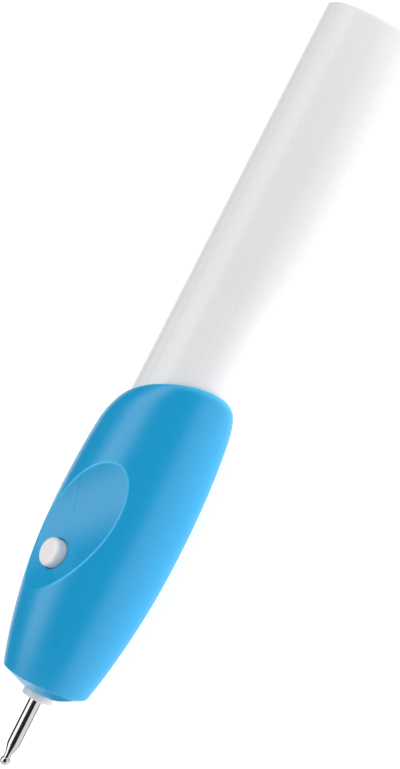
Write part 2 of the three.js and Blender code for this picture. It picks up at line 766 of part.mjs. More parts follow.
function buildButton(parent) {
  const radius = buttonDiameter / 2;
  const cornerInset = buttonRound * (1 - Math.SQRT1_2);
  const profile = [
    [flangeBottom, 0],
    [flangeBottom, buttonFlangeDiameter / 2],
    [flangeTop, buttonFlangeDiameter / 2],
    [flangeTop, radius],
    [buttonTop - buttonRound, radius],
    [buttonTop - cornerInset, radius - cornerInset],
    [buttonTop, radius - buttonRound],
    [buttonTop, 0],
  ];
  const points = profile.map(([z, r]) => new THREE.Vector2(r, z));
  const button = addPiece(parent, "button", new THREE.LatheGeometry(points, buttonFacets), buttonWhite);
  button.rotation.x = Math.PI / 2;
  button.position.x = buttonStation;
}

function buildSwitch(parent) {
  const side = switchWidth / 2;
  const inner = side - switchWall;
  const caseHollow = block([buttonStation - inner, buttonStation + inner], [-inner, inner],
    [switchFloor, switchTop - switchWall]);
  const stemHole = post(buttonStation, 0, switchFloor + cutOver, switchTop + cutOver,
    plungerDiameter / 2 + buttonClearance, smallFacets, flatReach(smallFacets));
  let shell = solidOf(block([switchFront, switchRear], [-side, side], [switchBottom, switchTop]))
    .subtract(solidOf(caseHollow))
    .subtract(solidOf(stemHole));

  const tabHalf = tagWidth / 2;
  const tabBottom = switchFloor + touchGap;
  const tabTop = tabBottom + contactThickness;
  for (const [name, hand] of [["switch_terminal_left", -1], ["switch_terminal_right", 1]]) {
    const innerEnd = hand * (switchSpringDiameter / 2 + partGap);
    const outerEnd = hand * (side + switchTabProud);
    const along = [buttonStation - tabHalf, buttonStation + tabHalf];
    const tab = block(along, span(innerEnd, outerEnd), [tabBottom, tabTop]);
    const slot = block([along[0] - touchGap, along[1] + touchGap],
      span(innerEnd, hand * (side + cutOver)), [switchFloor - touchGap, tabTop + touchGap]);
    shell = shell.subtract(solidOf(slot));
    addPiece(parent, name, tab, brass);
  }
  addPiece(parent, "switch_case", shell, black);

  const footRadius = inner - plungerFootInset;
  const foot = solidOf(post(buttonStation, 0, plungerFootBottom, plungerFootTop, footRadius));
  const stemTop = flangeBottom - touchGap;
  const stem = solidOf(post(buttonStation, 0, plungerFootBottom, stemTop, plungerDiameter / 2));
  addPiece(parent, "switch_plunger", foot.add(stem), nylon);
  addPiece(parent, "switch_bridge",
    post(buttonStation, 0, bridgeBottom, plungerFootBottom - pressGap, footRadius), brass);

  const wire = switchSpringWire / 2;
  const coil = switchSpringDiameter / 2 - wire;
  const helix = new ConeHelix(switchFloor + wire + touchGap, bridgeBottom - wire - touchGap, coil, coil,
    switchSpringTurns);
  const spring = swept(helix, wire, springFacets, Math.round(switchSpringTurns * springStepsPerTurn));
  spring.rotateY(-Math.PI / 2);
  addPiece(parent, "switch_spring", spring.translate(buttonStation, 0, 0), steel);
}

// Contact carrier, its contacts and the wires

function buildContacts(parent) {
  const tagHalf = tagWidth / 2;
  const tagFront = carrierFront - partGap;
  const half = contactThickness / 2;
  const slotHalf = tagHalf + touchGap;
  const positiveSlot = block([carrierFront - cutOver, carrierRear + cutOver], [-slotHalf, slotHalf],
    [positiveTagHeight - half - touchGap, positiveTagHeight + half + touchGap]);
  const negativeSlot = block([carrierFront - cutOver, carrierRear + cutOver], [-slotHalf, slotHalf],
    [-negativeTagDrop - half - touchGap, -negativeTagDrop + half + touchGap]);
  const carrier = solidOf(rod(carrierFront, carrierRear, carrierRadius, bodyFacets))
    .subtract(solidOf(positiveSlot))
    .subtract(solidOf(negativeSlot));
  addPiece(parent, "contact_carrier", carrier, black);

  const plate = solidOf(rod(carrierRear, plateRear, positivePlateDiameter / 2));
  const tag = solidOf(block([tagFront, plateRear], [-tagHalf, tagHalf],
    [positiveTagHeight - half, positiveTagHeight + half]));
  addPiece(parent, "positive_contact", plate.add(tag), tinned);

  const base = carrierRear + half;
  const leafTip = tubeFront - 2 * contactThickness;
  const leaf = uprightStrip([
    [base, -negativeTagDrop + half],
    [base, -leafDrop],
    [(base + leafTip) / 2, -leafDrop],
    [leafTip, 2 * contactThickness - leafDrop],
  ], contactThickness, leafWidth);
  const negativeTag = block([tagFront, carrierRear + contactThickness], [-tagHalf, tagHalf],
    [-negativeTagDrop - half, -negativeTagDrop + half]);
  addPiece(parent, "negative_contact", solidOf(leaf).add(solidOf(negativeTag)), tinned);
}

function addWire(parent, name, points, material) {
  const places = points.map(([x, y, z]) => new THREE.Vector3(x, y, z));
  const curve = new THREE.CatmullRomCurve3(places, false, "centripetal");
  const steps = wireStepsPerPoint * (points.length - 1);
  addPiece(parent, name, swept(curve, wireDiameter / 2, wireFacets, steps), material);
}

function buildWires(parent) {
  const radius = wireDiameter / 2;
  const joint = (motorRear + carrierFront) / 2;
  const overMotor = motorTop + radius + partGap;
  const tabTop = switchFloor + touchGap + contactThickness;
  const tabSide = switchWidth / 2 + switchTabProud;
  const terminalTop = brushWidth / 2 - spindleDrop;
  const terminalBottom = -brushWidth / 2 - spindleDrop;
  const lane = motorDiameter / 6;
  const motorSide = motorDiameter / 2;

  function overTheMotor(hand) {
    return [
      [joint - radius / 4, hand * lane, motorTop + 1.2 * radius],
      [motorRear - 2 * radius, hand * lane, overMotor + 0.7 * radius],
      [(motorFront + motorRear) / 2, hand * lane, overMotor],
      [motorFront + 3 * radius, hand * (lane + radius), overMotor],
      [motorFront, hand * (motorSide - 2 * radius), motorTop + radius],
      [switchRear - 2 * radius, hand * (tabSide + 2 * radius), (motorTop + tabTop) / 2 + 2 * radius],
      [buttonStation, hand * tabSide, tabTop + radius + partGap / 2],
    ];
  }

  addWire(parent, "lead_red", [
    [joint, 0, positiveTagHeight + contactThickness + partGap],
    [joint, lane / 3, motorTop - 2 * radius],
    ...overTheMotor(1),
  ], redSleeve);
  addWire(parent, "lead_link", [
    [joint, -brushTerminalReach, terminalTop + partGap / 2],
    [joint, -brushTerminalReach, motorTop - 5 * radius],
    [joint, -(brushTerminalReach + lane) / 2, motorTop - radius],
    ...overTheMotor(-1),
  ], yellowSleeve);
  addWire(parent, "lead_black", [
    [joint, tagWidth / 2 + partGap, -negativeTagDrop],
    [joint, brushTerminalReach - 2 * radius, -negativeTagDrop + radius],
    [joint, brushTerminalReach, -negativeTagDrop + 3 * radius],
    [joint, brushTerminalReach, terminalBottom - partGap / 2],
  ], blackSleeve);
}

// Battery tube with its cells, spring and strip

function tubeRadius(station) {
  const share = (station - tubeFront) / (tubeEnd - tubeFront);
  return tubeFrontDiameter / 2 - tubeDraft * share;
}

function buildTube(parent) {
  const profile = [
    [tubeFront, 0],
    [tubeFront, tubeFrontDiameter / 2 - tubeChamfer],
    [tubeFront + tubeChamfer, tubeFrontDiameter / 2],
    [tubeEnd - tubeEndRound, tubeRadius(tubeEnd - tubeEndRound)],
  ];
  for (let i = 1; i <= 3; i++) {
    const angle = (Math.PI / 2) * (i / 3);
    const inset = tubeEndRound * (1 - Math.cos(angle));
    profile.push([tubeEnd - tubeEndRound * (1 - Math.sin(angle)), tubeRearRadius - inset]);
  }
  profile.push([tubeEnd, 0]);

  const cellRadius = cellDiameter / 2 + cellClearance;
  let bore = hole(tubeFront - cutOver, tubeInnerEnd, tubeBoreRadius, bodyFacets);
  for (let rib = 0; rib < tubeRibCount; rib++) {
    const angle = (360 * (rib + 0.5)) / tubeRibCount;
    const bar = block([tubeFront + tubeRibSetback, cellsRear], [-tubeRibWidth / 2, tubeRibWidth / 2],
      [cellRadius, tubeBoreRadius + cutOver]);
    bore = bore.subtract(solidOf(bar).rotate([angle, 0, 0]));
  }
  const outside = solidOf(turned(profile, bodyFacets, flatReach(bodyFacets)));
  addPiece(parent, "battery_tube", outside.subtract(bore), white);
}

function buildCells(parent) {
  const radius = cellDiameter / 2;
  const nub = cellNubDiameter / 2;
  const profile = [
    [0, 0],
    [0, nub],
    [cellNubLength, nub],
    [cellNubLength, radius - cellEdge],
    [cellNubLength + cellEdge, radius],
    [cellLength - cellEdge, radius],
    [cellLength - touchGap, radius - cellEdge],
    [cellLength - touchGap, 0],
  ];
  for (let i = 0; i < cellCount; i++) {
    const cell = addPiece(parent, `cell_${i + 1}`, turned(profile, cellFacets), cellWrap);
    cell.position.x = cellsFront + i * cellLength;
  }
}

function buildTubeContacts(parent) {
  const half = contactThickness / 2;
  const boreAtStrip = Math.sqrt(tubeBoreRadius ** 2 - (stripWidth / 2) ** 2);
  const stripDrop = half + partGap / 2 - boreAtStrip;
  const frontTab = tubeFront - touchGap - half;
  const rearPlate = tubeInnerEnd - touchGap - half;
  const strip = uprightStrip([
    [frontTab, -tubeFrontDiameter / 2 + 2 * contactThickness],
    [frontTab, stripDrop],
    [rearPlate, stripDrop],
    [rearPlate, rearSpringLargeDiameter / 2],
  ], contactThickness, stripWidth);
  addPiece(parent, "contact_strip", strip, tinned);

  const wire = rearSpringWire / 2;
  const start = cellsRear + wire + touchGap;
  const end = rearPlate - half - wire - touchGap;
  const small = rearSpringSmallDiameter / 2 - wire;
  const large = rearSpringLargeDiameter / 2 - wire;
  const helix = new ConeHelix(start, end, small, large, rearSpringTurns);
  const steps = Math.round(rearSpringTurns * springStepsPerTurn);
  addPiece(parent, "rear_spring", swept(helix, wire, springFacets, steps), steel);
}

// Assembly. The origin lies under the middle of the pen, on the surface that the grip rests on.

const engravingPen = new THREE.Group();
const tubeLine = new THREE.Group();
const spindleLine = new THREE.Group();
tubeLine.position.set(-tubeEnd / 2, 0, bellyRadius);
spindleLine.position.z = -spindleDrop;
engravingPen.add(tubeLine);
tubeLine.add(spindleLine);

buildGrip(tubeLine);
buildNose(spindleLine);
buildBit(spindleLine);
buildCoupler(spindleLine);
buildMotorCase(spindleLine);
buildMagnets(spindleLine);
buildArmature(spindleLine);
buildButton(tubeLine);
buildSwitch(tubeLine);
buildContacts(tubeLine);
buildWires(tubeLine);
buildTube(tubeLine);
buildCells(tubeLine);
buildTubeContacts(tubeLine);

export default engravingPen;
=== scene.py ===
# An electric engraving pen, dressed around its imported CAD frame.
# Lengths are written in millimetres and multiplied by mm where Blender takes metres.
# A station is a place along the pen, counted from the ball's tip towards the rear.

from math import atan2, cos, pi, radians, sin, sqrt, tan

import bpy
import numpy as np
from mathutils import Matrix, Vector


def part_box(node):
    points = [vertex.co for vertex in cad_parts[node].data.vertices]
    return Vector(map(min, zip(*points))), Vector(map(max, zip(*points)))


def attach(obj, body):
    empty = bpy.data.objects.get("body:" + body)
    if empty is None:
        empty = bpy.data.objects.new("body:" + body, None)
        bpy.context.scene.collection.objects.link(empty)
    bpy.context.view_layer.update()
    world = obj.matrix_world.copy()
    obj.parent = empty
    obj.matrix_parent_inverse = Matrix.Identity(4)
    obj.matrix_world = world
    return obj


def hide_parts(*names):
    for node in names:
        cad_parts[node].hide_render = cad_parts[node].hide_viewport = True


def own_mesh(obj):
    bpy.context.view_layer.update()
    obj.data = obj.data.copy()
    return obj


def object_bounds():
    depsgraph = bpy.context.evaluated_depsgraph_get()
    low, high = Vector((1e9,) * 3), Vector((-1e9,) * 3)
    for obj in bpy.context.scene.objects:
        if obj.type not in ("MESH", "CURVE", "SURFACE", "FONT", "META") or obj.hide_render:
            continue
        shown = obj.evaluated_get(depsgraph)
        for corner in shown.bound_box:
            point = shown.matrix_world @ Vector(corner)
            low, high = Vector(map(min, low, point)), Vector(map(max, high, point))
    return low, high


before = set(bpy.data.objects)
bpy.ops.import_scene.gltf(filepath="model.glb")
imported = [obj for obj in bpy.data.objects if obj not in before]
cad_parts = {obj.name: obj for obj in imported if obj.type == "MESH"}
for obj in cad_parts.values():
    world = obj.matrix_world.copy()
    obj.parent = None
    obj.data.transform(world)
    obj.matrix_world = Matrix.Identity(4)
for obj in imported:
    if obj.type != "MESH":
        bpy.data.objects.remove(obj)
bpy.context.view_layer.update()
mm = 0.001

bitLow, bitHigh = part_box("bit")
tubeLow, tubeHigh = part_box("battery_tube")
tipX = bitLow.x
bitHeight = (bitLow.z + bitHigh.z) / 2
tubeHeight = (tubeLow.z + tubeHigh.z) / 2
spindleDrop = (tubeHeight - bitHeight) / mm  # the bit's axis lies under the tube's


def stationOf(x):
    return (x - tipX) / mm


def endsOf(node):
    return [stationOf(corner.x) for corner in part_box(node)]


def place(station, side=0.0, height=0.0):  # height counts from the tube's axis
    return Vector((tipX + station * mm, side * mm, tubeHeight + height * mm))


def pickNothing():
    if bpy.context.object and bpy.context.object.mode == "EDIT":
        bpy.ops.object.mode_set(mode="OBJECT")
    bpy.ops.object.select_all(action="DESELECT")


def pickOnly(piece):
    pickNothing()
    piece.select_set(True)
    bpy.context.view_layer.objects.active = piece


pickNothing()
print("frame loaded:", len(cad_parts), "nodes")

# Effects that several materials use. Their scales count waves to the metre.

plainGrey = (0.8, 0.8, 0.8, 1)
noiseMiddle = 0.5


def startGroup(name, inputs, outputs):
    group = bpy.data.node_groups.new(name, "ShaderNodeTree")
    for label, kind, value in inputs:
        socket = group.interface.new_socket(label, in_out="INPUT", socket_type="NodeSocket" + kind)
        if value is not None:
            socket.default_value = value
    for label, kind in outputs:
        group.interface.new_socket(label, in_out="OUTPUT", socket_type="NodeSocket" + kind)
    start = group.nodes.new("NodeGroupInput")
    end = group.nodes.new("NodeGroupOutput")
    return group, start.outputs, end.inputs


# Gives a socket another node's output, or a plain value.
def feed(tree, socket, value):
    if isinstance(value, bpy.types.NodeSocket):
        tree.links.new(value, socket)
    elif socket.type == "RGBA" and len(value) == 3:
        socket.default_value = (*value, 1.0)
    elif value is not None:
        socket.default_value = value


def addNode(tree, kind, settings=None, **values):
    node = tree.nodes.new("ShaderNode" + kind)
    for name, value in (settings or {}).items():
        setattr(node, name, value)
    for name, value in values.items():
        feed(tree, node.inputs[name.replace("_", " ")], value)
    return node


def addMath(tree, operation, first, second=None, third=None):
    node = addNode(tree, "Math", {"operation": operation})
    for socket, value in zip(node.inputs, (first, second, third)):
        feed(tree, socket, value)
    return node.outputs[0]


def remap(tree, value, fromLow, fromHigh, toLow=0.0, toHigh=1.0):
    node = addNode(tree, "MapRange", Value=value, From_Min=fromLow, From_Max=fromHigh,
                   To_Min=toLow, To_Max=toHigh)
    return node.outputs["Result"]


def stretch(tree, vector, amounts):
    node = addNode(tree, "VectorMath", {"operation": "MULTIPLY"})
    for socket, value in zip(node.inputs, (vector, amounts)):
        feed(tree, socket, value)
    return node.outputs["Vector"]


def mixColours(tree, amount, first, second, blendType="MIX"):
    node = addNode(tree, "Mix", {"data_type": "RGBA", "blend_type": blendType}, Factor=amount)
    for socket, value in zip(node.inputs[6:8], (first, second)):  # the two colours, A and B
        feed(tree, socket, value)
    return node.outputs[2]


# Moulded plastic: flow mottle in the colour, an uneven gloss and the fine grain of the mould.
mould = {"flowScale": 110.0, "flowBend": 0.6, "cloudScale": 420.0}


def makeMouldedSkin():
    group, given, out = startGroup("mouldedSkin", [
        ("Vector", "Vector", None),
        ("Colour", "Color", plainGrey),
        ("Mottle", "Float", 0.05),
        ("Roughness", "Float", 0.3),
        ("Gloss Change", "Float", 0.06),
        ("Grain Scale", "Float", 3000.0),
    ], [("Colour", "Color"), ("Roughness", "Float"), ("Height", "Float")])
    where = given["Vector"]
    flow = addNode(group, "TexNoise", Vector=where, Scale=mould["flowScale"], Detail=3.0,
                   Distortion=mould["flowBend"])
    cloud = addNode(group, "TexNoise", Vector=where, Scale=mould["cloudScale"], Detail=4.0)
    grain = addNode(group, "TexNoise", Vector=where, Scale=given["Grain Scale"], Detail=2.0)
    mottle = addMath(group, "SUBTRACT", flow.outputs["Fac"], noiseMiddle)
    shade = addMath(group, "MULTIPLY_ADD", mottle, given["Mottle"], 1.0)
    grey = addNode(group, "CombineColor", Red=shade, Green=shade, Blue=shade).outputs["Color"]
    mottled = mixColours(group, 1.0, given["Colour"], grey, "MULTIPLY")
    change = addMath(group, "SUBTRACT", cloud.outputs["Fac"], noiseMiddle)
    gloss = addMath(group, "MULTIPLY_ADD", change, given["Gloss Change"], given["Roughness"])
    group.links.new(mottled, out["Colour"])
    group.links.new(gloss, out["Roughness"])
    group.links.new(grain.outputs["Fac"], out["Height"])
    return group


# Small pale specks of dust and lint, a few to the square centimetre. Each has its own size.
dust = {"smallest": 0.3}


def makeDustSpecks():
    group, given, out = startGroup("dustSpecks", [
        ("Vector", "Vector", None),
        ("Colour", "Color", plainGrey),
        ("Speck Colour", "Color", (0.75, 0.8, 0.85, 1)),
        ("Scale", "Float", 260.0),
        ("Size", "Float", 0.05),
        ("Share", "Float", 0.1),
        ("Strength", "Float", 0.5),
    ], [("Colour", "Color"), ("Mask", "Float")])
    cells = addNode(group, "TexVoronoi", {"feature": "F1"}, Vector=given["Vector"], Scale=given["Scale"])
    chance = addNode(group, "SeparateColor", Color=cells.outputs["Color"]).outputs
    chosen = addMath(group, "LESS_THAN", chance["Red"], given["Share"])
    growth = addMath(group, "ADD", chance["Green"], dust["smallest"])
    ownSize = addMath(group, "MULTIPLY", given["Size"], growth)
    near = addMath(group, "LESS_THAN", cells.outputs["Distance"], ownSize)
    specks = addMath(group, "MULTIPLY", chosen, near)
    mask = addMath(group, "MULTIPLY", specks, given["Strength"])
    group.links.new(mixColours(group, mask, given["Colour"], given["Speck Colour"]), out["Colour"])
    group.links.new(mask, out["Mask"])
    return group


# Worn edges, from how sharply the surface turns outwards, with some breaks in them.
wear = {"breakScale": 900.0, "breakFrom": 0.25, "breakTo": 0.6, "leastWear": 0.55}


def makeEdgeWear():
    group, given, out = startGroup("edgeWear", [
        ("Vector", "Vector", None),
        ("Colour", "Color", plainGrey),
        ("Worn Colour", "Color", (1, 1, 1, 1)),
        ("Strength", "Float", 0.5),
        ("Start", "Float", 0.52),
        ("Full", "Float", 0.6),
    ], [("Colour", "Color"), ("Mask", "Float")])
    sharpness = addNode(group, "NewGeometry").outputs["Pointiness"]
    turn = remap(group, sharpness, given["Start"], given["Full"])
    breakup = addNode(group, "TexNoise", Vector=given["Vector"], Scale=wear["breakScale"], Detail=3.0)
    uneven = remap(group, breakup.outputs["Fac"], wear["breakFrom"], wear["breakTo"],
                   wear["leastWear"], 1.0)
    worn = addMath(group, "MULTIPLY", turn, uneven)
    mask = addMath(group, "MULTIPLY", worn, given["Strength"])
    group.links.new(mixColours(group, mask, given["Colour"], given["Worn Colour"]), out["Colour"])
    group.links.new(mask, out["Mask"])
    return group


# Fine scratches from handling: thin short lines in two directions.
scratches = {"leans": (0.5, -1.1), "stretch": (0.12, 4.0, 4.0), "faintest": 0.69, "clearest": 0.74}


def makeHandlingMarks():
    group, given, out = startGroup("handlingMarks", [
        ("Vector", "Vector", None),
        ("Scale", "Float", 500.0),
        ("Share", "Float", 0.12),
    ], [("Mask", "Float")])
    masks = []
    for lean in scratches["leans"]:
        turned = addNode(group, "VectorRotate", {"rotation_type": "Z_AXIS"}, Vector=given["Vector"],
                         Angle=lean)
        drawn = stretch(group, turned.outputs["Vector"], scratches["stretch"])
        lines = addNode(group, "TexNoise", Vector=drawn, Scale=given["Scale"], Detail=1.0)
        masks.append(remap(group, lines.outputs["Fac"], scratches["faintest"], scratches["clearest"]))
    both = addMath(group, "MAXIMUM", masks[0], masks[1])
    group.links.new(addMath(group, "MULTIPLY", both, given["Share"]), out["Mask"])
    return group


# Turning marks: fine rings round a piece that was turned or drawn along X.
turning = {"stretch": (1.0, 0.04, 0.04)}


def makeTurningMarks():
    group, given, out = startGroup("turningMarks", [
        ("Vector", "Vector", None),
        ("Rings", "Float", 9000.0),
        ("Roughness", "Float", 0.2),
        ("Gloss Change", "Float", 0.1),
    ], [("Roughness", "Float"), ("Height", "Float")])
    squeezed = stretch(group, given["Vector"], turning["stretch"])
    rings = addNode(group, "TexNoise", Vector=squeezed, Scale=given["Rings"], Detail=2.0)
    change = addMath(group, "SUBTRACT", rings.outputs["Fac"], noiseMiddle)
    gloss = addMath(group, "MULTIPLY_ADD", change, given["Gloss Change"], given["Roughness"])
    group.links.new(gloss, out["Roughness"])
    group.links.new(rings.outputs["Fac"], out["Height"])
    return group


mouldedSkin = makeMouldedSkin()
dustSpecks = makeDustSpecks()
edgeWear = makeEdgeWear()
handlingMarks = makeHandlingMarks()
turningMarks = makeTurningMarks()
print("effects made:", len(bpy.data.node_groups))

# Materials


def startMaterial(name, **settings):
    material = bpy.data.materials.new(name)
    material.use_nodes = True
    tree = material.node_tree
    shader = tree.nodes["Principled BSDF"]
    for label, value in settings.items():
        shader.inputs[label.replace("_", " ")].default_value = value
    where = addNode(tree, "TexCoord").outputs["Object"]
    return material, tree, shader, where


def addEffect(tree, group, **values):
    node = tree.nodes.new("ShaderNodeGroup")
    node.node_tree = group
    for name, value in values.items():
        feed(tree, node.inputs[name.replace("_", " ")], value)
    return node.outputs


def addBump(tree, shader, height, depth):
    bump = addNode(tree, "Bump", Height=height, Strength=1.0, Distance=depth * mm)
    tree.links.new(bump.outputs["Normal"], shader.inputs["Normal"])


def makePlastic(name, look):
    material, tree, shader, where = startMaterial(name, IOR=look["ior"])
    skin = addEffect(tree, mouldedSkin, Vector=where, Colour=look["colour"], Mottle=look["mottle"],
                     Roughness=look["roughness"], Gloss_Change=look["glossChange"],
                     Grain_Scale=look["grainScale"])
    worn = addEffect(tree, edgeWear, Vector=where, Colour=skin["Colour"], Worn_Colour=look["edgeColour"],
                     Strength=look["edgeStrength"], Start=look["edgeStart"], Full=look["edgeFull"])
    skinColour = worn["Colour"]
    if "thinEdgeColour" in look:  # painted glow and highlight: a paler colour and an emission along the lip and the recess ridge, standing in for light through the thin plastic and a glint on the ridge
        thinEdge = addNode(tree, "Attribute", {"attribute_name": "thinEdge"}).outputs["Fac"]
        lit = addMath(tree, "MULTIPLY", thinEdge, look["thinEdgeStrength"])
        skinColour = mixColours(tree, lit, skinColour, look["thinEdgeColour"])
        glow = mixColours(tree, thinEdge, (0, 0, 0), look["thinEdgeGlow"])
        tree.links.new(glow, shader.inputs["Emission Color"])
        shader.inputs["Emission Strength"].default_value = 1.0
    dusty = addEffect(tree, dustSpecks, Vector=where, Colour=skinColour, Speck_Colour=look["speckColour"],
                      Share=look["speckShare"], Strength=look["speckStrength"])
    marks = addEffect(tree, handlingMarks, Vector=where, Share=look["marks"])
    scuffed = addMath(tree, "ADD", skin["Roughness"], marks["Mask"])
    tree.links.new(dusty["Colour"], shader.inputs["Base Color"])
    tree.links.new(addMath(tree, "ADD", scuffed, dusty["Mask"]), shader.inputs["Roughness"])
    addBump(tree, shader, skin["Height"], look["grainDepth"])
    return material


plasticDefaults = {
    "ior": 1.49, "mottle": 0.05, "glossChange": 0.08, "grainScale": 3200.0, "grainDepth": 0.004,
    "marks": 0.1, "edgeStrength": 0.3, "edgeStart": 0.53, "edgeFull": 0.62,
    "speckColour": (0.78, 0.82, 0.86), "speckShare": 0.05, "speckStrength": 0.5,
}
plasticLooks = {
    "gripBlue": {"colour": (0.002, 0.335, 0.65), "roughness": 0.3, "mottle": 0.06,
                 "edgeColour": (0.1, 0.45, 0.75), "edgeStrength": 0.12, "speckColour": (0.35, 0.65, 0.9),
                 # painted glow along the lip and painted highlight along the ridge: a paler colour mixed
                 # in, and an emission
                 "thinEdgeColour": (0.1, 0.56, 0.9), "thinEdgeStrength": 0.4,
                 "thinEdgeGlow": (0.012, 0.19, 0.26)},
    "tubeWhite": {"colour": (0.83, 0.83, 0.838), "roughness": 0.2, "ior": 1.36, "mottle": 0.025,
                  "marks": 0.04, "edgeColour": (0.86, 0.86, 0.87)},
    "buttonWhite": {"colour": (0.9, 0.88, 0.885), "roughness": 0.32, "mottle": 0.03,
                    "edgeColour": (0.92, 0.92, 0.93)},
    "bushWhite": {"colour": (0.76, 0.735, 0.72), "roughness": 0.38, "mottle": 0.05,
                  "edgeColour": (0.85, 0.84, 0.83)},
    "nylon": {"colour": (0.74, 0.72, 0.66), "roughness": 0.45, "mottle": 0.08,
              "edgeColour": (0.8, 0.79, 0.75)},
    "blackPlastic": {"colour": (0.018, 0.018, 0.02), "roughness": 0.42, "mottle": 0.2,
                     "edgeColour": (0.08, 0.08, 0.085)},
}
materials = {}
for lookName, look in plasticLooks.items():
    materials[lookName] = makePlastic(lookName, {**plasticDefaults, **look})


def makeMetal(name, look):
    material, tree, shader, where = startMaterial(name, Metallic=1.0)
    marks = addEffect(tree, turningMarks, Vector=where, Rings=look["rings"], Roughness=look["roughness"],
                      Gloss_Change=look["glossChange"])
    skin = addEffect(tree, mouldedSkin, Vector=where, Colour=look["colour"], Mottle=look["mottle"])
    worn = addEffect(tree, edgeWear, Vector=where, Colour=skin["Colour"], Worn_Colour=look["edgeColour"],
                     Strength=look["edgeStrength"])
    scuffs = addEffect(tree, handlingMarks, Vector=where, Share=look["marks"], Scale=look["markScale"])
    tree.links.new(worn["Colour"], shader.inputs["Base Color"])
    tree.links.new(addMath(tree, "ADD", marks["Roughness"], scuffs["Mask"]), shader.inputs["Roughness"])
    addBump(tree, shader, marks["Height"], look["ringDepth"])
    return material


metalDefaults = {
    "rings": 9000.0, "ringDepth": 0.002, "glossChange": 0.1, "mottle": 0.1, "marks": 0.08,
    "markScale": 900.0, "edgeColour": (0.9, 0.9, 0.9), "edgeStrength": 0.4,
}
metalLooks = {
    "bitSteel": {"colour": (0.5, 0.5, 0.505), "roughness": 0.12, "glossChange": 0.08,
                 "ringDepth": 0.0012},
    "shaftSteel": {"colour": (0.56, 0.56, 0.57), "roughness": 0.18},
    "springSteel": {"colour": (0.5, 0.5, 0.5), "roughness": 0.24, "mottle": 0.2},
    "canSteel": {"colour": (0.5, 0.51, 0.52), "roughness": 0.34, "mottle": 0.25, "rings": 3000.0},
    "tinnedContact": {"colour": (0.62, 0.61, 0.58), "roughness": 0.3, "mottle": 0.3},
    "brass": {"colour": (0.62, 0.42, 0.13), "roughness": 0.26, "mottle": 0.3,
              "edgeColour": (0.85, 0.66, 0.3)},
    "bronze": {"colour": (0.36, 0.24, 0.1), "roughness": 0.44, "mottle": 0.4,
               "edgeColour": (0.6, 0.42, 0.2)},
    "copper": {"colour": (0.5, 0.16, 0.06), "roughness": 0.3, "rings": 5200.0, "ringDepth": 0.05,
               "edgeColour": (0.75, 0.35, 0.18)},
    "laminate": {"colour": (0.2, 0.2, 0.21), "roughness": 0.42, "rings": 2600.0, "ringDepth": 0.04},
    "ferrite": {"colour": (0.045, 0.045, 0.048), "roughness": 0.62, "mottle": 0.5, "rings": 1500.0,
                "edgeColour": (0.12, 0.12, 0.12)},
}
for lookName, look in metalLooks.items():
    materials[lookName] = makeMetal(lookName, {**metalDefaults, **look})

sleeveDefaults = {"roughness": 0.4, "mottle": 0.1, "edgeColour": (0.6, 0.6, 0.6), "edgeStrength": 0.1,
                  "grainDepth": 0.01}
sleeveLooks = {
    "redSleeve": {"colour": (0.42, 0.02, 0.014)},
    "blackSleeve": {"colour": (0.014, 0.014, 0.016)},
    "yellowSleeve": {"colour": (0.62, 0.4, 0.05)},
}
for lookName, look in sleeveLooks.items():
    materials[lookName] = makePlastic(lookName, {**plasticDefaults, **sleeveDefaults, **look})

# The sleeve of a cell: a dark wrap with a plain coloured band near its positive end, and steel ends.
cellSleeveLook = {
    "wrap": (0.03, 0.04, 0.05), "band": (0.5, 0.27, 0.05), "line": (0.6, 0.6, 0.6),
    "steel": (0.55, 0.55, 0.56), "bandLength": 11.0, "lineLength": 0.6, "steelRadius": 4.75,
    "ior": 1.5, "mottle": 0.06, "roughness": 0.22, "glossChange": 0.1, "marks": 0.2, "grainDepth": 0.01,
}


def makeCellSleeve(look):
    material, tree, shader, where = startMaterial("cellSleeve", IOR=look["ior"])
    split = addNode(tree, "SeparateXYZ", Vector=where).outputs
    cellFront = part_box("cell_1")[0].x
    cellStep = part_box("cell_2")[0].x - cellFront
    along = addMath(tree, "MODULO", addMath(tree, "SUBTRACT", split["X"], cellFront), cellStep)
    onBand = addMath(tree, "LESS_THAN", along, look["bandLength"] * mm)
    onLine = addMath(tree, "LESS_THAN", along, (look["bandLength"] + look["lineLength"]) * mm)
    lined = mixColours(tree, onLine, look["wrap"], look["line"])
    printed = mixColours(tree, onBand, lined, look["band"])
    skin = addEffect(tree, mouldedSkin, Vector=where, Colour=printed, Mottle=look["mottle"],
                     Roughness=look["roughness"], Gloss_Change=look["glossChange"])
    marks = addEffect(tree, handlingMarks, Vector=where, Share=look["marks"])
    above = addMath(tree, "SUBTRACT", split["Z"], tubeHeight)
    beside = addMath(tree, "MULTIPLY", split["Y"], split["Y"])
    fromAxis = addMath(tree, "SQRT", addMath(tree, "MULTIPLY_ADD", above, above, beside))
    bare = addMath(tree, "LESS_THAN", fromAxis, look["steelRadius"] * mm)
    tree.links.new(mixColours(tree, bare, skin["Colour"], look["steel"]), shader.inputs["Base Color"])
    tree.links.new(bare, shader.inputs["Metallic"])
    tree.links.new(addMath(tree, "ADD", skin["Roughness"], marks["Mask"]), shader.inputs["Roughness"])
    addBump(tree, shader, skin["Height"], look["grainDepth"])
    return material


materials["cellSleeve"] = makeCellSleeve(cellSleeveLook)
print("materials made:", len(materials))

# Modelling tools

mergeWithin = 0.001


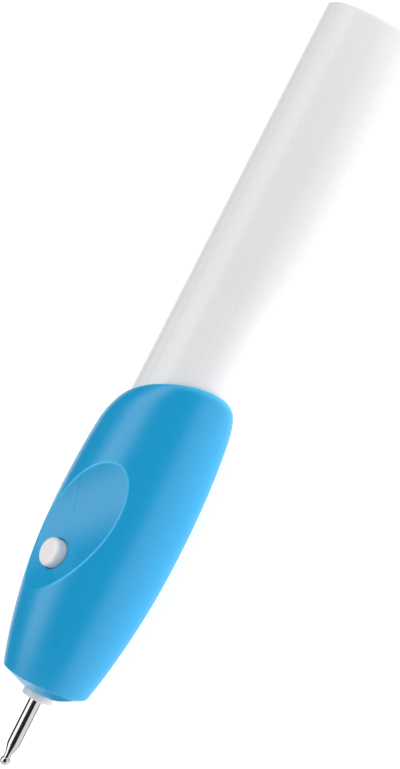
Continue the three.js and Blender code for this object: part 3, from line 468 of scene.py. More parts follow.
# Draws a circle and pulls it along a profile of [place, radius] pairs, as on a lathe. The axis runs
# along X, or upwards through a given station, where the places are heights.
def turnPiece(name, profile, height=0.0, sides=96, upright=None):
    pickNothing()
    almostZero = 1e-4
    points = [(along, max(radius, almostZero)) for along, radius in profile]

    def spot(along):
        return place(upright, 0, along) if upright else place(along, 0, height)

    tilt = (0, 0, 0) if upright else (0, pi / 2, 0)
    bpy.ops.mesh.primitive_circle_add(vertices=sides, radius=points[0][1] * mm, rotation=tilt,
                                      location=spot(points[0][0]))
    piece = bpy.context.object
    piece.name = name
    bpy.ops.object.transform_apply(location=True, rotation=True, scale=True)
    bpy.ops.object.mode_set(mode="EDIT")
    bpy.ops.mesh.select_all(action="SELECT")
    for before, after in zip(points, points[1:]):
        step = spot(after[0]) - spot(before[0])
        growth = after[1] / before[1]
        size = (growth, growth, 1) if upright else (1, growth, growth)
        bpy.ops.mesh.extrude_edges_move(TRANSFORM_OT_translate={"value": step})
        bpy.ops.transform.resize(value=size, center_override=spot(after[0]))
    bpy.ops.mesh.select_all(action="SELECT")
    bpy.ops.mesh.remove_doubles(threshold=mergeWithin * mm)
    bpy.ops.mesh.normals_make_consistent(inside=False)
    bpy.ops.object.mode_set(mode="OBJECT")
    return piece


# Quarter rounds for a profile, at its first face and at its last.
def startRound(start, outer, width, count):
    turns = np.linspace(0, pi / 2, count)
    return [(start + width * (1 - cos(a)), outer - width * (1 - sin(a))) for a in turns]


def endRound(end, outer, width, count):
    turns = np.linspace(0, pi / 2, count)
    return [(end - width * (1 - sin(a)), outer - width * (1 - cos(a))) for a in turns]


def bevelEdges(piece, width, segments=3, angle=30):
    pickOnly(piece)
    bpy.ops.object.modifier_add(type="BEVEL")
    bevel = piece.modifiers[-1]
    bevel.width = width * mm
    bevel.segments = segments
    bevel.limit_method = "ANGLE"
    bevel.angle_limit = radians(angle)
    bpy.ops.object.modifier_apply(modifier=bevel.name)


def weld(piece, other):
    pickOnly(piece)
    bpy.ops.object.modifier_add(type="BOOLEAN")
    change = piece.modifiers[-1]
    change.operation = "UNION"
    change.solver = "EXACT"
    change.object = other
    bpy.ops.object.modifier_apply(modifier=change.name)
    bpy.data.objects.remove(other)


def smoothShade(piece, angle=32):
    pickOnly(piece)
    bpy.ops.object.shade_smooth_by_angle(angle=radians(angle))


# The record's slot and its material here share a name in two spellings, such as grip_blue and gripBlue.
def finishOf(slotName):
    first, *others = slotName.split("_")
    return first + "".join(word.capitalize() for word in others)


def seat(piece, body, slotName, *nodes):
    piece.data.materials.clear()
    piece.data.materials.append(materials[finishOf(slotName)])
    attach(piece, body)
    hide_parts(*nodes)
    print("piece:", piece.name, len(piece.data.polygons), "faces")


# Grip

# The two half shells, with the same sizes as the solids. The last lines are the steps of their mesh,
# and the window in it that holds the thumb recess.
grip = {
    "noseFlatRadius": 4.25, "noseConeLength": 2.25, "noseConeBulge": 0.02, "noseRadius": 8.86,
    "boreRadius": 2.6, "noseWall": 5.6, "noseToBelly": 33.85, "noseTiltDegrees": 2.9,
    "bellyRise": 3.06, "shoulderRise": 1.38, "frontFullness": 2.05, "rearFullness": 2.2, "wall": 1.8,
    "slantDegrees": 28.0, "twistDegrees": 4.8, "lipWidth": 0.35, "socketRadius": 9.87,
    "shoulderRound": 5.1, "shoulderRoundChange": 2.8, "edgeRound": 0.3,
    "ringRadius": 8.62, "ringLength": 0.8, "grooveSlack": 0.05,
    "recessRadius": 20.0, "recessBehindButton": 4.15, "recessSkewDegrees": 42.9,
    "recessRollDegrees": 11.0, "recessWall": 1.5, "buttonProud": 2.15, "buttonHoleRadius": 3.1,
    "ridgeRound": 0.4, "innerRidgeRound": 0.02, "holeRound": 0.2,
    # painted highlight along the recess ridge, faded out towards the nose
    "ridgeGlints": (0.2, 0.4, 0.45, 0.4, 0.2, 0), "ridgeFadeStart": 33.0, "ridgeFadeLength": 3.5,
    # painted glow near the lip, stronger on the side towards the table
    "rimShine": 1.5, "rimFadeShare": 0.6, "shineOnTop": 0.25,
    "seamHalfWidth": 0.09, "seamDepth": 0.014, "dishSeamDepth": 0.018, "seamGap": 0.006,
    "columns": 176, "coneSteps": 8, "frontSpacing": 0.6, "windowSpacing": 0.56, "insideSpacing": 1.2,
    "rimRings": 30, "rimCrowding": 1.8, "shineRings": 60, "softSteps": 4,
    "windowFront": 31.0, "windowRear": 63.2, "windowLeft": 60.0, "windowRight": 43.0,
    "loopCrowding": 1.5, "outsideLoops": (12, 26), "insideLoops": (4, 8), "shadeAngle": 34,
}
onPlane = 1e-6  # a point that is this close to the plane y = 0 lies on it

noseFlat = endsOf("grip_shell_left")[0]
noseEdge = noseFlat + grip["noseConeLength"]
hollowFront = noseFlat + grip["noseWall"]
belly = noseEdge + grip["noseToBelly"]
buttonLow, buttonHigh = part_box("button")
buttonStation = stationOf((buttonLow.x + buttonHigh.x) / 2)
buttonTop = (buttonHigh.z - tubeHeight) / mm
carrierFront, carrierRear = endsOf("contact_carrier")
rimRadius = grip["socketRadius"] + grip["lipWidth"]
bellyRadius = rimRadius + grip["bellyRise"]
shoulderRadius = rimRadius + grip["shoulderRise"]
rimLean = tan(radians(grip["slantDegrees"])) * rimRadius
rimTwist = radians(grip["twistDegrees"])  # the mouth leans back most a little above the -Y side
rimStation = endsOf("grip_shell_right")[1] - rimLean * sin(rimTwist)
noseLean = tan(radians(grip["noseTiltDegrees"]))
recessRoll = radians(grip["recessRollDegrees"])
recessSkew = radians(grip["recessSkewDegrees"])
recessHeight = buttonTop - grip["buttonProud"] + grip["recessRadius"]
recessStation = buttonStation + grip["recessBehindButton"]
seamTurn = grip["seamHalfWidth"] / bellyRadius


def gripRadius(station):
    inFront = station < belly
    edge = np.where(inFront, grip["noseRadius"], shoulderRadius)
    reach = np.where(inFront, belly - noseEdge, rimStation - belly)
    power = np.where(inFront, grip["frontFullness"], grip["rearFullness"])
    return bellyRadius - (bellyRadius - edge) * (np.abs(station - belly) / reach) ** power


# The grip's surface: station along the pen, turn round it from the top towards -Y, in radians.
def gripSurface(station, turn, wall=0.0):
    leaning = np.sin(turn + rimTwist)
    share = np.clip((station - belly) / (rimStation - belly), 0, 1) * (wall == 0)
    moved = station + rimLean * leaning * share
    roundLength = grip["shoulderRound"] - grip["shoulderRoundChange"] * leaning
    toRim = np.clip((rimStation + rimLean * leaning - moved) / roundLength, 0, 1)
    roundness = np.sqrt(1 - (1 - toRim) ** 2)
    radius = gripRadius(moved)
    radius = np.where(share > 0, rimRadius + (radius - rimRadius) * roundness, radius) - wall
    toNose = np.clip((belly - station) / (belly - noseEdge), 0, 1) ** 2
    moved = moved - noseLean * radius * np.cos(turn) * toNose * (wall == 0)
    drop = spindleDrop * np.clip((belly - moved) / (belly - noseEdge), 0, 1) ** 2
    return np.stack([moved, -radius * np.sin(turn), radius * np.cos(turn) - drop], axis=-1)


# How far points lie outside the round cutter of the thumb recess, and the height of its underside.
def outsideRecess(points, radius):
    x = points[..., 0] - recessStation
    y = points[..., 1] * cos(recessRoll) + points[..., 2] * sin(recessRoll)
    z = -points[..., 1] * sin(recessRoll) + points[..., 2] * cos(recessRoll) - recessHeight
    return np.hypot(x * cos(recessSkew) + y * sin(recessSkew), z) - radius


def recessFloor(x, y, radius):
    across = (x - recessStation) * cos(recessSkew) + y * cos(recessRoll) * sin(recessSkew)
    acrossRise = sin(recessRoll) * sin(recessSkew)
    down = -y * sin(recessRoll) - recessHeight
    downRise = cos(recessRoll)
    a = acrossRise ** 2 + downRise ** 2
    b = across * acrossRise + down * downRise
    c = across ** 2 + down ** 2 - radius ** 2
    return (-b - np.sqrt(b ** 2 - a * c)) / a


def arc(before, corner, after, steps):
    shares = np.linspace(0, 1, steps + 1)
    return [(1 - t) ** 2 * before + 2 * t * (1 - t) * corner + t ** 2 * after for t in shares]


# The recess inside its window of the grip's surface: loops of points from the window's edge to the
# button's hole, and how strong the painted highlight along the ridge is at each loop.
def recessLoops(windowEdge, side):
    justOver = 1.01
    besideSeam = np.abs(windowEdge[:, 1]) < seamTurn * justOver
    centre = np.stack([np.full(len(windowEdge), buttonStation), windowEdge[:, 1] * besideSeam], axis=-1)

    def surfaceAt(shares):
        spots = centre + (windowEdge - centre) * shares[:, None]
        return gripSurface(spots[:, 0], spots[:, 1], side["wall"])

    # The ridge, where the cutter leaves the surface, is found by halving.
    halvings = 40
    low, high = np.zeros(len(windowEdge)), np.ones(len(windowEdge))
    for _ in range(halvings):
        middle = (low + high) / 2
        outside = outsideRecess(surfaceAt(middle), side["cutter"]) > 0
        low, high = np.where(outside, low, middle), np.where(outside, middle, high)
    ridge = surfaceAt(low)
    smallStep = 1e-4
    speed = np.linalg.norm(surfaceAt(low + smallStep) - ridge, axis=1) / smallStep
    start = low + side["ridgeRound"] / speed
    outerLoops, floorLoops = side["loops"]
    loops = []
    for k in range(1, outerLoops + 1):
        share = 1 - (1 - k / outerLoops) ** grip["loopCrowding"]
        loops.append(surfaceAt(1 - (1 - start) * share))
    # painted highlight on the loops that round the ridge
    shine = [0] * len(loops) + list(grip["ridgeGlints"])

    holeRadius = grip["buttonHoleRadius"] + side["holeRound"]
    away = np.hypot(ridge[:, 0] - buttonStation, ridge[:, 1])
    holeY = np.where(besideSeam, ridge[:, 1], ridge[:, 1] / away * holeRadius)
    holeX = buttonStation + np.sign(ridge[:, 0] - buttonStation) * np.sqrt(holeRadius ** 2 - holeY ** 2)
    first = side["ridgeRound"] / np.hypot(holeX - ridge[:, 0], holeY - ridge[:, 1])

    def floorAt(shares):
        x = ridge[:, 0] + (holeX - ridge[:, 0]) * shares
        y = ridge[:, 1] + (holeY - ridge[:, 1]) * shares
        return np.stack([x, y, recessFloor(x, y, side["cutter"])], axis=-1)

    loops += arc(loops[-1], ridge, floorAt(first), len(grip["ridgeGlints"]))[1:]
    for k in range(1, floorLoops + 1):
        loops.append(floorAt(first + (1 - first) * k / floorLoops))
    if side["holeRound"]:
        edgeX = buttonStation + (holeX - buttonStation) * grip["buttonHoleRadius"] / holeRadius
        edgeY = holeY * grip["buttonHoleRadius"] / holeRadius
        corner = np.stack([edgeX, edgeY, recessFloor(edgeX, edgeY, side["cutter"])], axis=-1)
        under = corner - np.array([0, 0, side["holeRound"]])
        loops += arc(loops[-1], corner, under, grip["softSteps"])[1:]
    return loops, shine + [0] * (len(loops) - len(shine))


def roundRing(station, radius, drop, turns):
    x = np.broadcast_to(station, turns.shape)
    return np.stack([x, -radius * np.sin(turns), radius * np.cos(turns) - drop], axis=-1)


# Swaps each soft ring for a small arc between its neighbours, and says where each ring went.
def softenRings(rings, width):
    mostOfArm = 0.45
    softened, starts = [], []
    for i, (points, soft) in enumerate(rings):
        starts.append(len(softened))
        if not soft:
            softened.append(points)
            continue
        ends = []
        for arm in (rings[i - 1][0] - points, rings[(i + 1) % len(rings)][0] - points):
            length = np.linalg.norm(arm, axis=1, keepdims=True)
            ends.append(points + arm / length * np.minimum(width, mostOfArm * length))
        softened += arc(ends[0], points, ends[1], grip["softSteps"])
    return softened, starts


# Even columns round the grip, with one more on each side of the seam on top and below.
def gripColumns():
    even = np.arange(grip["columns"]) * 360 / grip["columns"] - 180
    lean = np.degrees(seamTurn)
    seams = np.array([-180 + lean, -lean, lean, 180 - lean])
    return np.radians(np.sort(np.concatenate([even, seams])))


def stationsBetween(front, rear, spacing):
    return np.linspace(front, rear, max(2, round((rear - front) / spacing) + 1))


# The rings of the shell's skin, from the nose's bore over the outside and back along the inside.
def gripRings(turns, windowStations):
    rings = []

    def addSurface(stations, wall, soft=False):
        for station in stations:
            rings.append((gripSurface(np.full_like(turns, station), turns, wall), soft))

    def addRound(station, radius, drop=0.0, soft=False):
        rings.append((roundRing(station, radius, drop, turns), soft))

    flat = np.array([noseFlat, grip["noseFlatRadius"]])
    edge = np.array([noseEdge, grip["noseRadius"]])
    bulged = (flat + edge) / 2 - np.array([2 * grip["noseConeBulge"], 0])
    addRound(noseFlat, grip["boreRadius"], spindleDrop, soft=True)
    addRound(noseFlat, grip["noseFlatRadius"], spindleDrop, soft=True)
    for station, radius in arc(flat, bulged, edge, grip["coneSteps"])[1:-1]:
        tilt = noseLean * radius * np.cos(turns) * (station - noseFlat) / grip["noseConeLength"]
        addRound(station - tilt, radius, spindleDrop)
    addSurface([noseEdge], 0, soft=True)
    addSurface(stationsBetween(noseEdge, grip["windowFront"], grip["frontSpacing"])[1:-1], 0)
    outerWindow = len(rings)
    addSurface(windowStations, 0)
    rearShares = np.linspace(1, 0, grip["rimRings"])[1:] ** grip["rimCrowding"]
    addSurface(rimStation - (rimStation - grip["windowRear"]) * rearShares, 0)
    lip = rimStation + rimLean * np.sin(turns + rimTwist)
    addRound(lip, grip["socketRadius"], soft=True)
    lastOuter = len(rings)

    # Back along the inside: the tube's socket, the groove that holds the contact carrier, the hollow.
    socketFront = carrierRear + grip["ringLength"]
    for share in (0.75, 0.5, 0.25):
        addRound(socketFront + (lip - socketFront) * share, grip["socketRadius"])
    grooveRear, grooveFront = carrierRear + grip["grooveSlack"], carrierFront - grip["grooveSlack"]
    hollowRear = carrierFront - grip["ringLength"]
    addRound(socketFront, grip["socketRadius"])
    addRound(socketFront, grip["ringRadius"])
    addRound(grooveRear, grip["ringRadius"])
    addRound(grooveRear, grip["socketRadius"])
    addRound(grooveFront, grip["socketRadius"])
    addRound(grooveFront, grip["ringRadius"])
    addRound(hollowRear, grip["ringRadius"])
    addSurface([hollowRear], grip["wall"])
    innerWindow = len(rings)
    addSurface(windowStations[::-1], grip["wall"])
    frontStations = stationsBetween(hollowFront, grip["windowFront"], grip["insideSpacing"])
    addSurface(frontStations[-2::-1], grip["wall"])
    addRound(hollowFront, grip["boreRadius"], spindleDrop)
    return rings, outerWindow, innerWindow, lastOuter


# Painted glow near the lip, from 0 to 1: it stands in for light through the thin plastic, painted
# stronger on the side towards the table.
def paintedLipGlow(points, lastOuter, turns):
    shine = np.zeros(points.shape[:2])
    shine[lastOuter - 1] = 1
    fromLip = np.zeros(len(turns))
    fadeLength = grip["rimShine"] * grip["rimFadeShare"]
    for i in range(lastOuter - 1, lastOuter - grip["shineRings"], -1):
        fromLip += np.linalg.norm(points[i] - points[i - 1], axis=1)
        shine[i - 1] = np.clip((grip["lipWidth"] + grip["rimShine"] - fromLip) / fadeLength, 0, 1)
    towardsTable = (1 - np.cos(turns)) / 2
    return shine * (grip["shineOnTop"] + (1 - grip["shineOnTop"]) * towardsTable)


def buildGrip():
    turns = gripColumns()
    windowStations = stationsBetween(grip["windowFront"], grip["windowRear"], grip["windowSpacing"])
    rings, outerWindow, innerWindow, lastOuter = gripRings(turns, windowStations)
    rings, starts = softenRings(rings, grip["edgeRound"])
    outerWindow, innerWindow, lastOuter = starts[outerWindow], starts[innerWindow], starts[lastOuter]

    # The window's edge, walked once round, as rows and columns of the skin.
    across, along = len(turns), len(windowStations)
    firstColumn = int(np.argmin(np.abs(turns + radians(grip["windowRight"]))))
    lastColumn = int(np.argmin(np.abs(turns - radians(grip["windowLeft"]))))
    columnsHere = list(range(firstColumn, lastColumn + 1))
    steps = [(0, c) for c in columnsHere]
    steps += [(r, lastColumn) for r in range(1, along)]
    steps += [(along - 1, c) for c in columnsHere[-2::-1]]
    steps += [(r, firstColumn) for r in range(along - 2, 0, -1)]
    windowEdge = np.array([[windowStations[r], turns[c]] for r, c in steps])
    outerEdge = [(outerWindow + r) * across + c for r, c in steps]
    innerEdge = [(innerWindow + along - 1 - r) * across + c for r, c in steps]

    points = np.array(rings)
    onSeam = [0, int(np.argmin(np.abs(turns)))]  # under the pen and on top of it
    skin = slice(starts[2], lastOuter)
    for column, inward in zip(onSeam, (1, -1)):
        points[skin, column, 2] += inward * grip["seamDepth"]
    vertices = [points.reshape(-1, 3)]
    count = len(vertices[0])
    # the painted glow near the lip, for each point
    shine = [paintedLipGlow(points, lastOuter, turns).ravel()]

    quads = []
    for i in range(len(rings)):
        after = (i + 1) % len(rings)
        inOuter = outerWindow <= i < outerWindow + along - 1
        inInner = innerWindow <= i < innerWindow + along - 1
        for c in range(across):
            if (inOuter or inInner) and firstColumn <= c < lastColumn:
                continue
            d = (c + 1) % across
            quads.append((i * across + c, after * across + c, after * across + d, i * across + d))

    def joinLoops(first, second):
        for k in range(len(first)):
            n = (k + 1) % len(first)
            quads.append((first[k], second[k], second[n], first[n]))

    sides = (
        {"edge": outerEdge, "wall": 0, "cutter": grip["recessRadius"], "ridgeRound": grip["ridgeRound"],
         "holeRound": grip["holeRound"], "loops": grip["outsideLoops"]},
        {"edge": innerEdge, "wall": grip["wall"], "cutter": grip["recessRadius"] + grip["recessWall"],
         "ridgeRound": grip["innerRidgeRound"], "holeRound": 0.0, "loops": grip["insideLoops"]},
    )
    holeLoops = []
    for side in sides:
        loops, glints = recessLoops(windowEdge, side)
        last = side["edge"]
        for loop, glint in zip(loops, glints):
            # the painted highlight along the ridge fades out towards the nose, and the inside gets none
            brightness = np.clip((loop[:, 0] - grip["ridgeFadeStart"]) / grip["ridgeFadeLength"], 0, 1)
            shine.append(brightness * glint * (side["wall"] == 0))
            if side["wall"] == 0:
                loop[np.abs(windowEdge[:, 1]) < onPlane, 2] -= grip["dishSeamDepth"]
            vertices.append(loop)
            now = list(range(count, count + len(loop)))
            count += len(loop)
            joinLoops(last, now)
            last = now
        holeLoops.append(last)
    joinLoops(holeLoops[0], holeLoops[1])
    return np.concatenate(vertices), np.array(quads), np.concatenate(shine)


# Splits the skin on the plane y = 0 and closes each half's cut.
def makeShell(name, hand, points, quads, shine):
    middle = points[quads, 1].mean(axis=1)
    chosen = quads[middle * hand > 0]
    used, renumbered = np.unique(chosen, return_inverse=True)
    mine = points[used].copy()
    mine[np.abs(mine[:, 1]) < onPlane, 1] = hand * grip["seamGap"] / 2
    placed = np.stack([tipX + mine[:, 0] * mm, mine[:, 1] * mm, tubeHeight + mine[:, 2] * mm], axis=-1)
    mesh = bpy.data.meshes.new(name)
    mesh.from_pydata(placed.tolist(), [], renumbered.reshape(-1, 4).tolist())
    mesh.attributes.new("thinEdge", "FLOAT", "POINT").data.foreach_set("value", shine[used])
    piece = bpy.data.objects.new(name, mesh)
    bpy.context.scene.collection.objects.link(piece)
    pickOnly(piece)
    bpy.ops.object.mode_set(mode="EDIT")
    bpy.ops.mesh.select_all(action="SELECT")
    bpy.ops.mesh.fill_holes(sides=0)
    bpy.ops.mesh.select_all(action="SELECT")
    bpy.ops.mesh.normals_make_consistent(inside=False)
    bpy.ops.object.mode_set(mode="OBJECT")
    smoothShade(piece, grip["shadeAngle"])
    return piece


gripSkin = buildGrip()
leftShell = makeShell("gripShellLeft", -1, *gripSkin)
seat(leftShell, "grip", "grip_blue", "grip_shell_left")
rightShell = makeShell("gripShellRight", 1, *gripSkin)
seat(rightShell, "grip", "grip_blue", "grip_shell_right")

# Nose bush and bit

bush = {"rim": 3.15, "neck": 2.5, "flange": 3.6, "bore": 1.4, "chamfer": 0.2, "gap": 0.05, "edge": 0.06}
bushFront, bushRear = endsOf("nose_bush")
noseBush = turnPiece("noseBush", [
    (bushFront, bush["bore"]),
    (bushFront, bush["rim"] - bush["chamfer"]),
    (bushFront + bush["chamfer"], bush["rim"]),
    (noseFlat - bush["gap"], bush["rim"]),
    (noseFlat - bush["gap"], bush["neck"]),
    (hollowFront + bush["gap"], bush["neck"]),
    (hollowFront + bush["gap"], bush["flange"]),
    (bushRear, bush["flange"]),
    (bushRear, bush["bore"]),
    (bushFront, bush["bore"]),
], -spindleDrop)
bevelEdges(noseBush, bush["edge"])
smoothShade(noseBush)
seat(noseBush, "grip", "bush_white", "nose_bush")

bit = {"ball": 0.98, "neck": 0.7, "neckLength": 0.8, "taperLength": 2.1, "shank": 1.3, "edge": 0.12,
       "ballSteps": 25, "shadeAngle": 40}
bitRear = endsOf("bit")[1]
neckFront = bit["ball"] + sqrt(bit["ball"] ** 2 - bit["neck"] ** 2)
neckRear = neckFront + bit["neckLength"]
ballTurn = pi - atan2(bit["neck"], neckFront - bit["ball"])
ballArc = [(bit["ball"] * (1 - cos(a)), bit["ball"] * sin(a))
           for a in np.linspace(0, ballTurn, bit["ballSteps"])]
bitPiece = turnPiece("bitTool", ballArc + [
    (neckRear, bit["neck"]),
    (neckRear + bit["taperLength"], bit["shank"]),
    (bitRear - bit["edge"], bit["shank"]),
    (bitRear, bit["shank"] - bit["edge"]),
    (bitRear, 0),
], -spindleDrop, sides=64)
smoothShade(bitPiece, bit["shadeAngle"])
seat(bitPiece, "bit", "bit_steel", "bit")

# Push button

button = {"radius": 2.9, "flange": 3.8, "flangeThickness": 1.8, "topRound": 0.9, "roundSteps": 7}
buttonBottom = (buttonLow.z - tubeHeight) / mm
flangeTop = buttonBottom + button["flangeThickness"]
topRound = endRound(buttonTop, button["radius"], button["topRound"], button["roundSteps"])
buttonCap = turnPiece("buttonCap", [
    (buttonBottom, 0),
    (buttonBottom, button["flange"]),
    (flangeTop, button["flange"]),
    (flangeTop, button["radius"]),
] + topRound + [(buttonTop, 0)], upright=buttonStation)
smoothShade(buttonCap)
seat(buttonCap, "push_button", "button_white", "button")

# The return spring, wound between the floor of the switch and the bridge plate.
coil = {"wireRadius": 0.13, "middleRadius": 1.47, "turns": 2.5, "sides": 12, "stepsPerTurn": 28}
coilLow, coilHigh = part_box("switch_spring")
coilRise = coilHigh.z - coilLow.z - 2 * coil["wireRadius"] * mm
pickNothing()
bpy.ops.mesh.primitive_circle_add(vertices=coil["sides"], radius=coil["wireRadius"] * mm,
                                  rotation=(pi / 2, 0, 0), location=(coil["middleRadius"] * mm, 0, 0))
returnSpring = bpy.context.object
returnSpring.name = "returnSpring"
bpy.ops.object.transform_apply(location=True, rotation=True, scale=True)
winding = returnSpring.modifiers.new("winding", "SCREW")
winding.angle = 2 * pi * coil["turns"]
winding.screw_offset = coilRise
winding.steps = winding.render_steps = int(coil["turns"] * coil["stepsPerTurn"])
bpy.ops.object.modifier_apply(modifier="winding")
bpy.ops.object.mode_set(mode="EDIT")
bpy.ops.mesh.select_all(action="SELECT")
bpy.ops.mesh.remove_doubles(threshold=mergeWithin * mm)
bpy.ops.mesh.fill_holes(sides=0)
bpy.ops.mesh.select_all(action="SELECT")
bpy.ops.mesh.normals_make_consistent(inside=False)
bpy.ops.transform.translate(value=((coilLow.x + coilHigh.x) / 2, 0, coilLow.z + coil["wireRadius"] * mm))
bpy.ops.object.mode_set(mode="OBJECT")
smoothShade(returnSpring)
seat(returnSpring, "grip", "spring_steel", "switch_spring")
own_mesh(returnSpring)

# Battery tube

tube = {"frontRadius": 9.72, "draft": 0.42, "bore": 8.0, "boreChamfer": 0.3, "endWall": 1.6,
        "endRound": 1.1, "chamfer": 0.4, "steps": 9, "sides": 160,
        "ribs": 4, "ribWidth": 1.6, "ribRadius": 5.55, "ribRoot": 0.4, "ribSetback": 3.0}
tubeFront, tubeEnd = endsOf("battery_tube")
cellsRear = endsOf("cell_2")[1]


def tubeRadius(station):
    return tube["frontRadius"] - tube["draft"] * (station - tubeFront) / (tubeEnd - tubeFront)


def addRib(piece, turn):
    ribFront, ribRear = tubeFront + tube["ribSetback"], cellsRear
    ribHeight = tube["bore"] + tube["ribRoot"] - tube["ribRadius"]  # its root sinks into the wall
    middle = tube["ribRadius"] + ribHeight / 2
    pickNothing()
    bpy.ops.mesh.primitive_cube_add(
        size=1, rotation=(turn, 0, 0),
        location=place((ribFront + ribRear) / 2, -middle * sin(turn), middle * cos(turn)),
        scale=((ribRear - ribFront) * mm, tube["ribWidth"] * mm, ribHeight * mm))
    rib = bpy.context.object
    bpy.ops.object.transform_apply(location=True, rotation=True, scale=True)
    weld(piece, rib)


def buildTube():
    wallFront, wallRear = tubeFront + tube["chamfer"], tubeEnd - tube["endRound"]
    wallStations = np.linspace(wallFront, wallRear, tube["steps"])[:-1]
    walls = [(station, tubeRadius(station)) for station in wallStations]
    piece = turnPiece("batteryTube", [
        (tubeEnd - tube["endWall"], 0),
        (tubeEnd - tube["endWall"], tube["bore"]),
        (tubeFront + tube["boreChamfer"], tube["bore"]),
        (tubeFront, tube["bore"] + tube["boreChamfer"]),
        (tubeFront, tube["frontRadius"] - tube["chamfer"]),
    ] + walls + endRound(tubeEnd, tubeRadius(tubeEnd), tube["endRound"], tube["steps"]) + [
        (tubeEnd, 0),
    ], sides=tube["sides"])
    for k in range(tube["ribs"]):
        addRib(piece, pi / 4 + k * 2 * pi / tube["ribs"])
    return piece


batteryTube = buildTube()
smoothShade(batteryTube)
seat(batteryTube, "battery_case", "tube_white", "battery_tube")

# Cells

cell = {"radius": 5.25, "nub": 1.9, "nubLength": 1.0, "nubRound": 0.3, "edge": 0.4, "lip": 4.75,
        "lipWidth": 0.2, "lipDepth": 0.12, "dimple": 3.3, "roundSteps": 5}
for number in (1, 2):
    front, rear = endsOf(f"cell_{number}")
    shoulder = front + cell["nubLength"]
    nubArc = startRound(front, cell["nub"], cell["nubRound"], cell["roundSteps"])
    frontArc = startRound(shoulder, cell["radius"], cell["edge"], cell["roundSteps"])
    rearArc = [(shoulder + rear - station, radius) for station, radius in frontArc[::-1]]
    cellPiece = turnPiece(f"cell{number}", [(front, 0)] + nubArc + [
        (shoulder + cell["lipDepth"], cell["nub"]),
        (shoulder + cell["lipDepth"], cell["lip"] - cell["lipWidth"]),
        (shoulder, cell["lip"]),
    ] + frontArc + rearArc + [
        (rear, cell["lip"]),
        (rear - cell["lipDepth"], cell["lip"] - cell["lipWidth"]),
        (rear - cell["lipDepth"], cell["dimple"]),
        (rear, cell["dimple"] - cell["lipWidth"]),
        (rear, 0),
    ], sides=64)
    smoothShade(cellPiece)
    seat(cellPiece, "battery_case", "cell_sleeve", f"cell_{number}")

# Finishes of the CAD pieces that stay as they are

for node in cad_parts.values():
    for materialSlot in node.material_slots:
        wanted = materialSlot.material.name.split(".")[0] if materialSlot.material else ""
        if finishOf(wanted) in materials:
            materialSlot.material = materials[finishOf(wanted)]
        else:
            print("no finish for", node.name, wanted)
print("CAD pieces finished:", len(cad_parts))

# Floor, light and camera

# Places and sizes are in metres here, apart from the camera's distance and its two offsets.

table = {"size": 6.0, "colour": (0.9, 0.9, 0.9), "glow": 0.5, "glowSeen": 0.85}  # it is lit from inside
studio = {"light": 0.5, "seen": 1.0}
overhead = {"middle": (0.02, 0.085, 0.52), "size": (0.9, 0.32), "turned": -6, "power": 1.65}
panelUnderGrip = {"middle": (-0.03, -0.09, 0.0005), "size": (0.1, 0.17), "turned": 0, "power": 0.034,
                  "faceUp": True}
panelUnderTube = {"middle": (0.16, -0.14, 0.0005), "size": (0.16, 0.19), "turned": 0, "power": 0.22,
                  "faceUp": True}
# dark cards that only reflections see: painted dark reflections behind the camera, behind the pen and
# under the bit
cardBehindCamera = {"turned": 0, "distance": 0.6, "width": 0.85, "length": 1.2,
                    "colour": (0.012, 0.012, 0.014)}
cardBehindPen = {"turned": -120, "distance": 0.6, "width": 0.6, "length": 1.2,
                 "colour": (0.03, 0.03, 0.03)}
cardUnderBit = {"turned": 150, "along": -0.073, "distance": 0.0085, "width": 0.01, "length": 0.016,
                "colour": (0.05, 0.05, 0.05)}
view = {"bearing": 63.2, "elevation": 36.2, "distance": 450.0, "alongPen": 2.7, "rightward": 1.9,
        "fieldOfView": 18.7, "clipFrom": 0.01, "clipTo": 20}
mattRoughness = 0.9


def startMatt(name, colour):
    material = bpy.data.materials.new(name)
    material.use_nodes = True
    shader = material.node_tree.nodes["Principled BSDF"]
    shader.inputs["Base Color"].default_value = (*colour, 1)
    shader.inputs["Roughness"].default_value = mattRoughness
    return material


def makeFloor():
    pickNothing()
    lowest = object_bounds()[0].z
    bpy.ops.mesh.primitive_plane_add(size=table["size"], location=(0, 0, lowest))
    floor = bpy.context.object
    floor.name = "floor"
    bpy.ops.object.transform_apply(location=True, rotation=True, scale=True)
    material = startMatt("floorWhite", table["colour"])
    tree = material.node_tree
    shader = tree.nodes["Principled BSDF"]
    shader.inputs["Emission Color"].default_value = (1, 1, 1, 1)
    path = addNode(tree, "LightPath")
    glow = remap(tree, path.outputs["Is Camera Ray"], 0, 1, table["glow"], table["glowSeen"])
    tree.links.new(glow, shader.inputs["Emission Strength"])
    floor.data.materials.append(material)


def makeWorld():
    world = bpy.data.worlds.new("studio")
    world.use_nodes = True
    bpy.context.scene.world = world
    tree = world.node_tree
    path = addNode(tree, "LightPath")
    seen = addMath(tree, "MAXIMUM", path.outputs["Is Camera Ray"], path.outputs["Is Glossy Ray"])
    seen = addMath(tree, "MAXIMUM", seen, path.outputs["Is Transmission Ray"])
    strength = remap(tree, seen, 0, 1, studio["light"], studio["seen"])
    back = tree.nodes["Background"]
    back.inputs["Color"].default_value = (1, 1, 1, 1)
    tree.links.new(strength, back.inputs["Strength"])


# Puts a lamp or a camera in the scene, with its own X, Y and Z along the three given directions.
def addHolder(name, data, spot, directions):
    holder = bpy.data.objects.new(name, data)
    bpy.context.scene.collection.objects.link(holder)
    holder.matrix_world = Matrix.Translation(spot) @ Matrix(directions).transposed().to_4x4()
    return holder


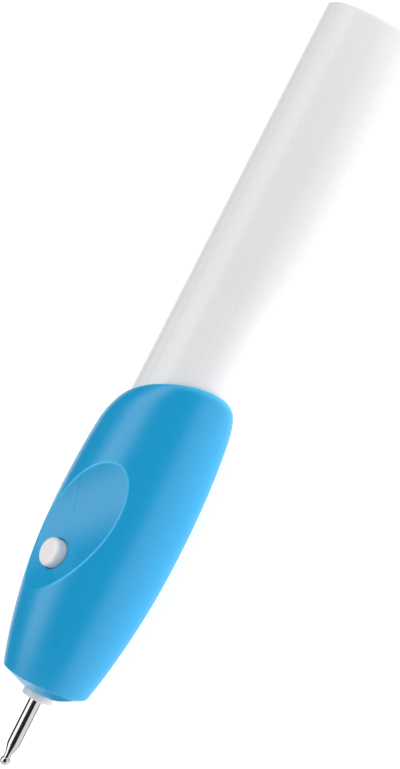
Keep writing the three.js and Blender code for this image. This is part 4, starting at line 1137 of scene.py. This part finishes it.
# A rectangle of light that faces the pen, its long side turned by so many degrees from X.
def addSoftbox(name, look):
    light = bpy.data.lights.new(name, "AREA")
    light.shape = "RECTANGLE"
    light.size, light.size_y = look["size"]
    light.energy = look["power"]
    facesUp = look.get("faceUp", False)
    middle = Vector(look["middle"])
    away = Vector((0, 0, -1)) if facesUp else (middle - Vector((0, 0, tubeHeight))).normalized()
    lengthwise = Vector((cos(radians(look["turned"])), sin(radians(look["turned"])), 0))
    lengthwise = (lengthwise - away * lengthwise.dot(away)).normalized()
    holder = addHolder(name, light, middle, (lengthwise, away.cross(lengthwise), away))
    holder.visible_camera = False
    holder.visible_glossy = not facesUp


# A dark card that only reflections see, a painted dark reflection. It faces the pen from an angle round
# it, counted from the camera downwards.
def addDarkCard(name, look):
    turn = radians(look["turned"] - view["elevation"])
    away = Vector((0, -cos(turn), -sin(turn)))
    spot = away * look["distance"] + Vector((look.get("along", 0), 0, tubeHeight))
    pickNothing()
    bpy.ops.mesh.primitive_plane_add(size=1)
    card = bpy.context.object
    card.name = name
    card.matrix_world = (Matrix.Translation(spot) @ away.to_track_quat("Z", "X").to_matrix().to_4x4()
                         @ Matrix.Diagonal((look["width"], look["length"], 1, 1)))
    bpy.ops.object.transform_apply(location=True, rotation=True, scale=True)
    card.visible_camera = False
    card.visible_diffuse = False
    card.visible_shadow = False
    card.visible_transmission = False
    card.data.materials.append(startMatt(name + "Felt", look["colour"]))


def makeCamera():
    bearing, rise = radians(view["bearing"]), radians(view["elevation"])
    backward = Vector((0, -cos(rise), sin(rise)))
    along, steep = Vector((1, 0, 0)), Vector((0, sin(rise), cos(rise)))
    right = cos(bearing) * along - sin(bearing) * steep
    up = sin(bearing) * along + cos(bearing) * steep
    target = Vector((view["alongPen"] * mm, 0, tubeHeight)) - steep * view["rightward"] * mm
    camera = bpy.data.cameras.new("camera")
    camera.sensor_fit = "VERTICAL"
    camera.angle_y = radians(view["fieldOfView"])
    camera.clip_start, camera.clip_end = view["clipFrom"], view["clipTo"]
    spot = target + backward * view["distance"] * mm
    bpy.context.scene.camera = addHolder("camera", camera, spot, (right, up, backward))


makeFloor()
makeWorld()
makeCamera()
addSoftbox("overhead", overhead)
addSoftbox("panelUnderGrip", panelUnderGrip)
addSoftbox("panelUnderTube", panelUnderTube)
addDarkCard("cardBehindCamera", cardBehindCamera)
addDarkCard("cardBehindPen", cardBehindPen)
addDarkCard("cardUnderBit", cardUnderBit)
bpy.context.scene.view_settings.view_transform = "Standard"
print("camera and lights placed")
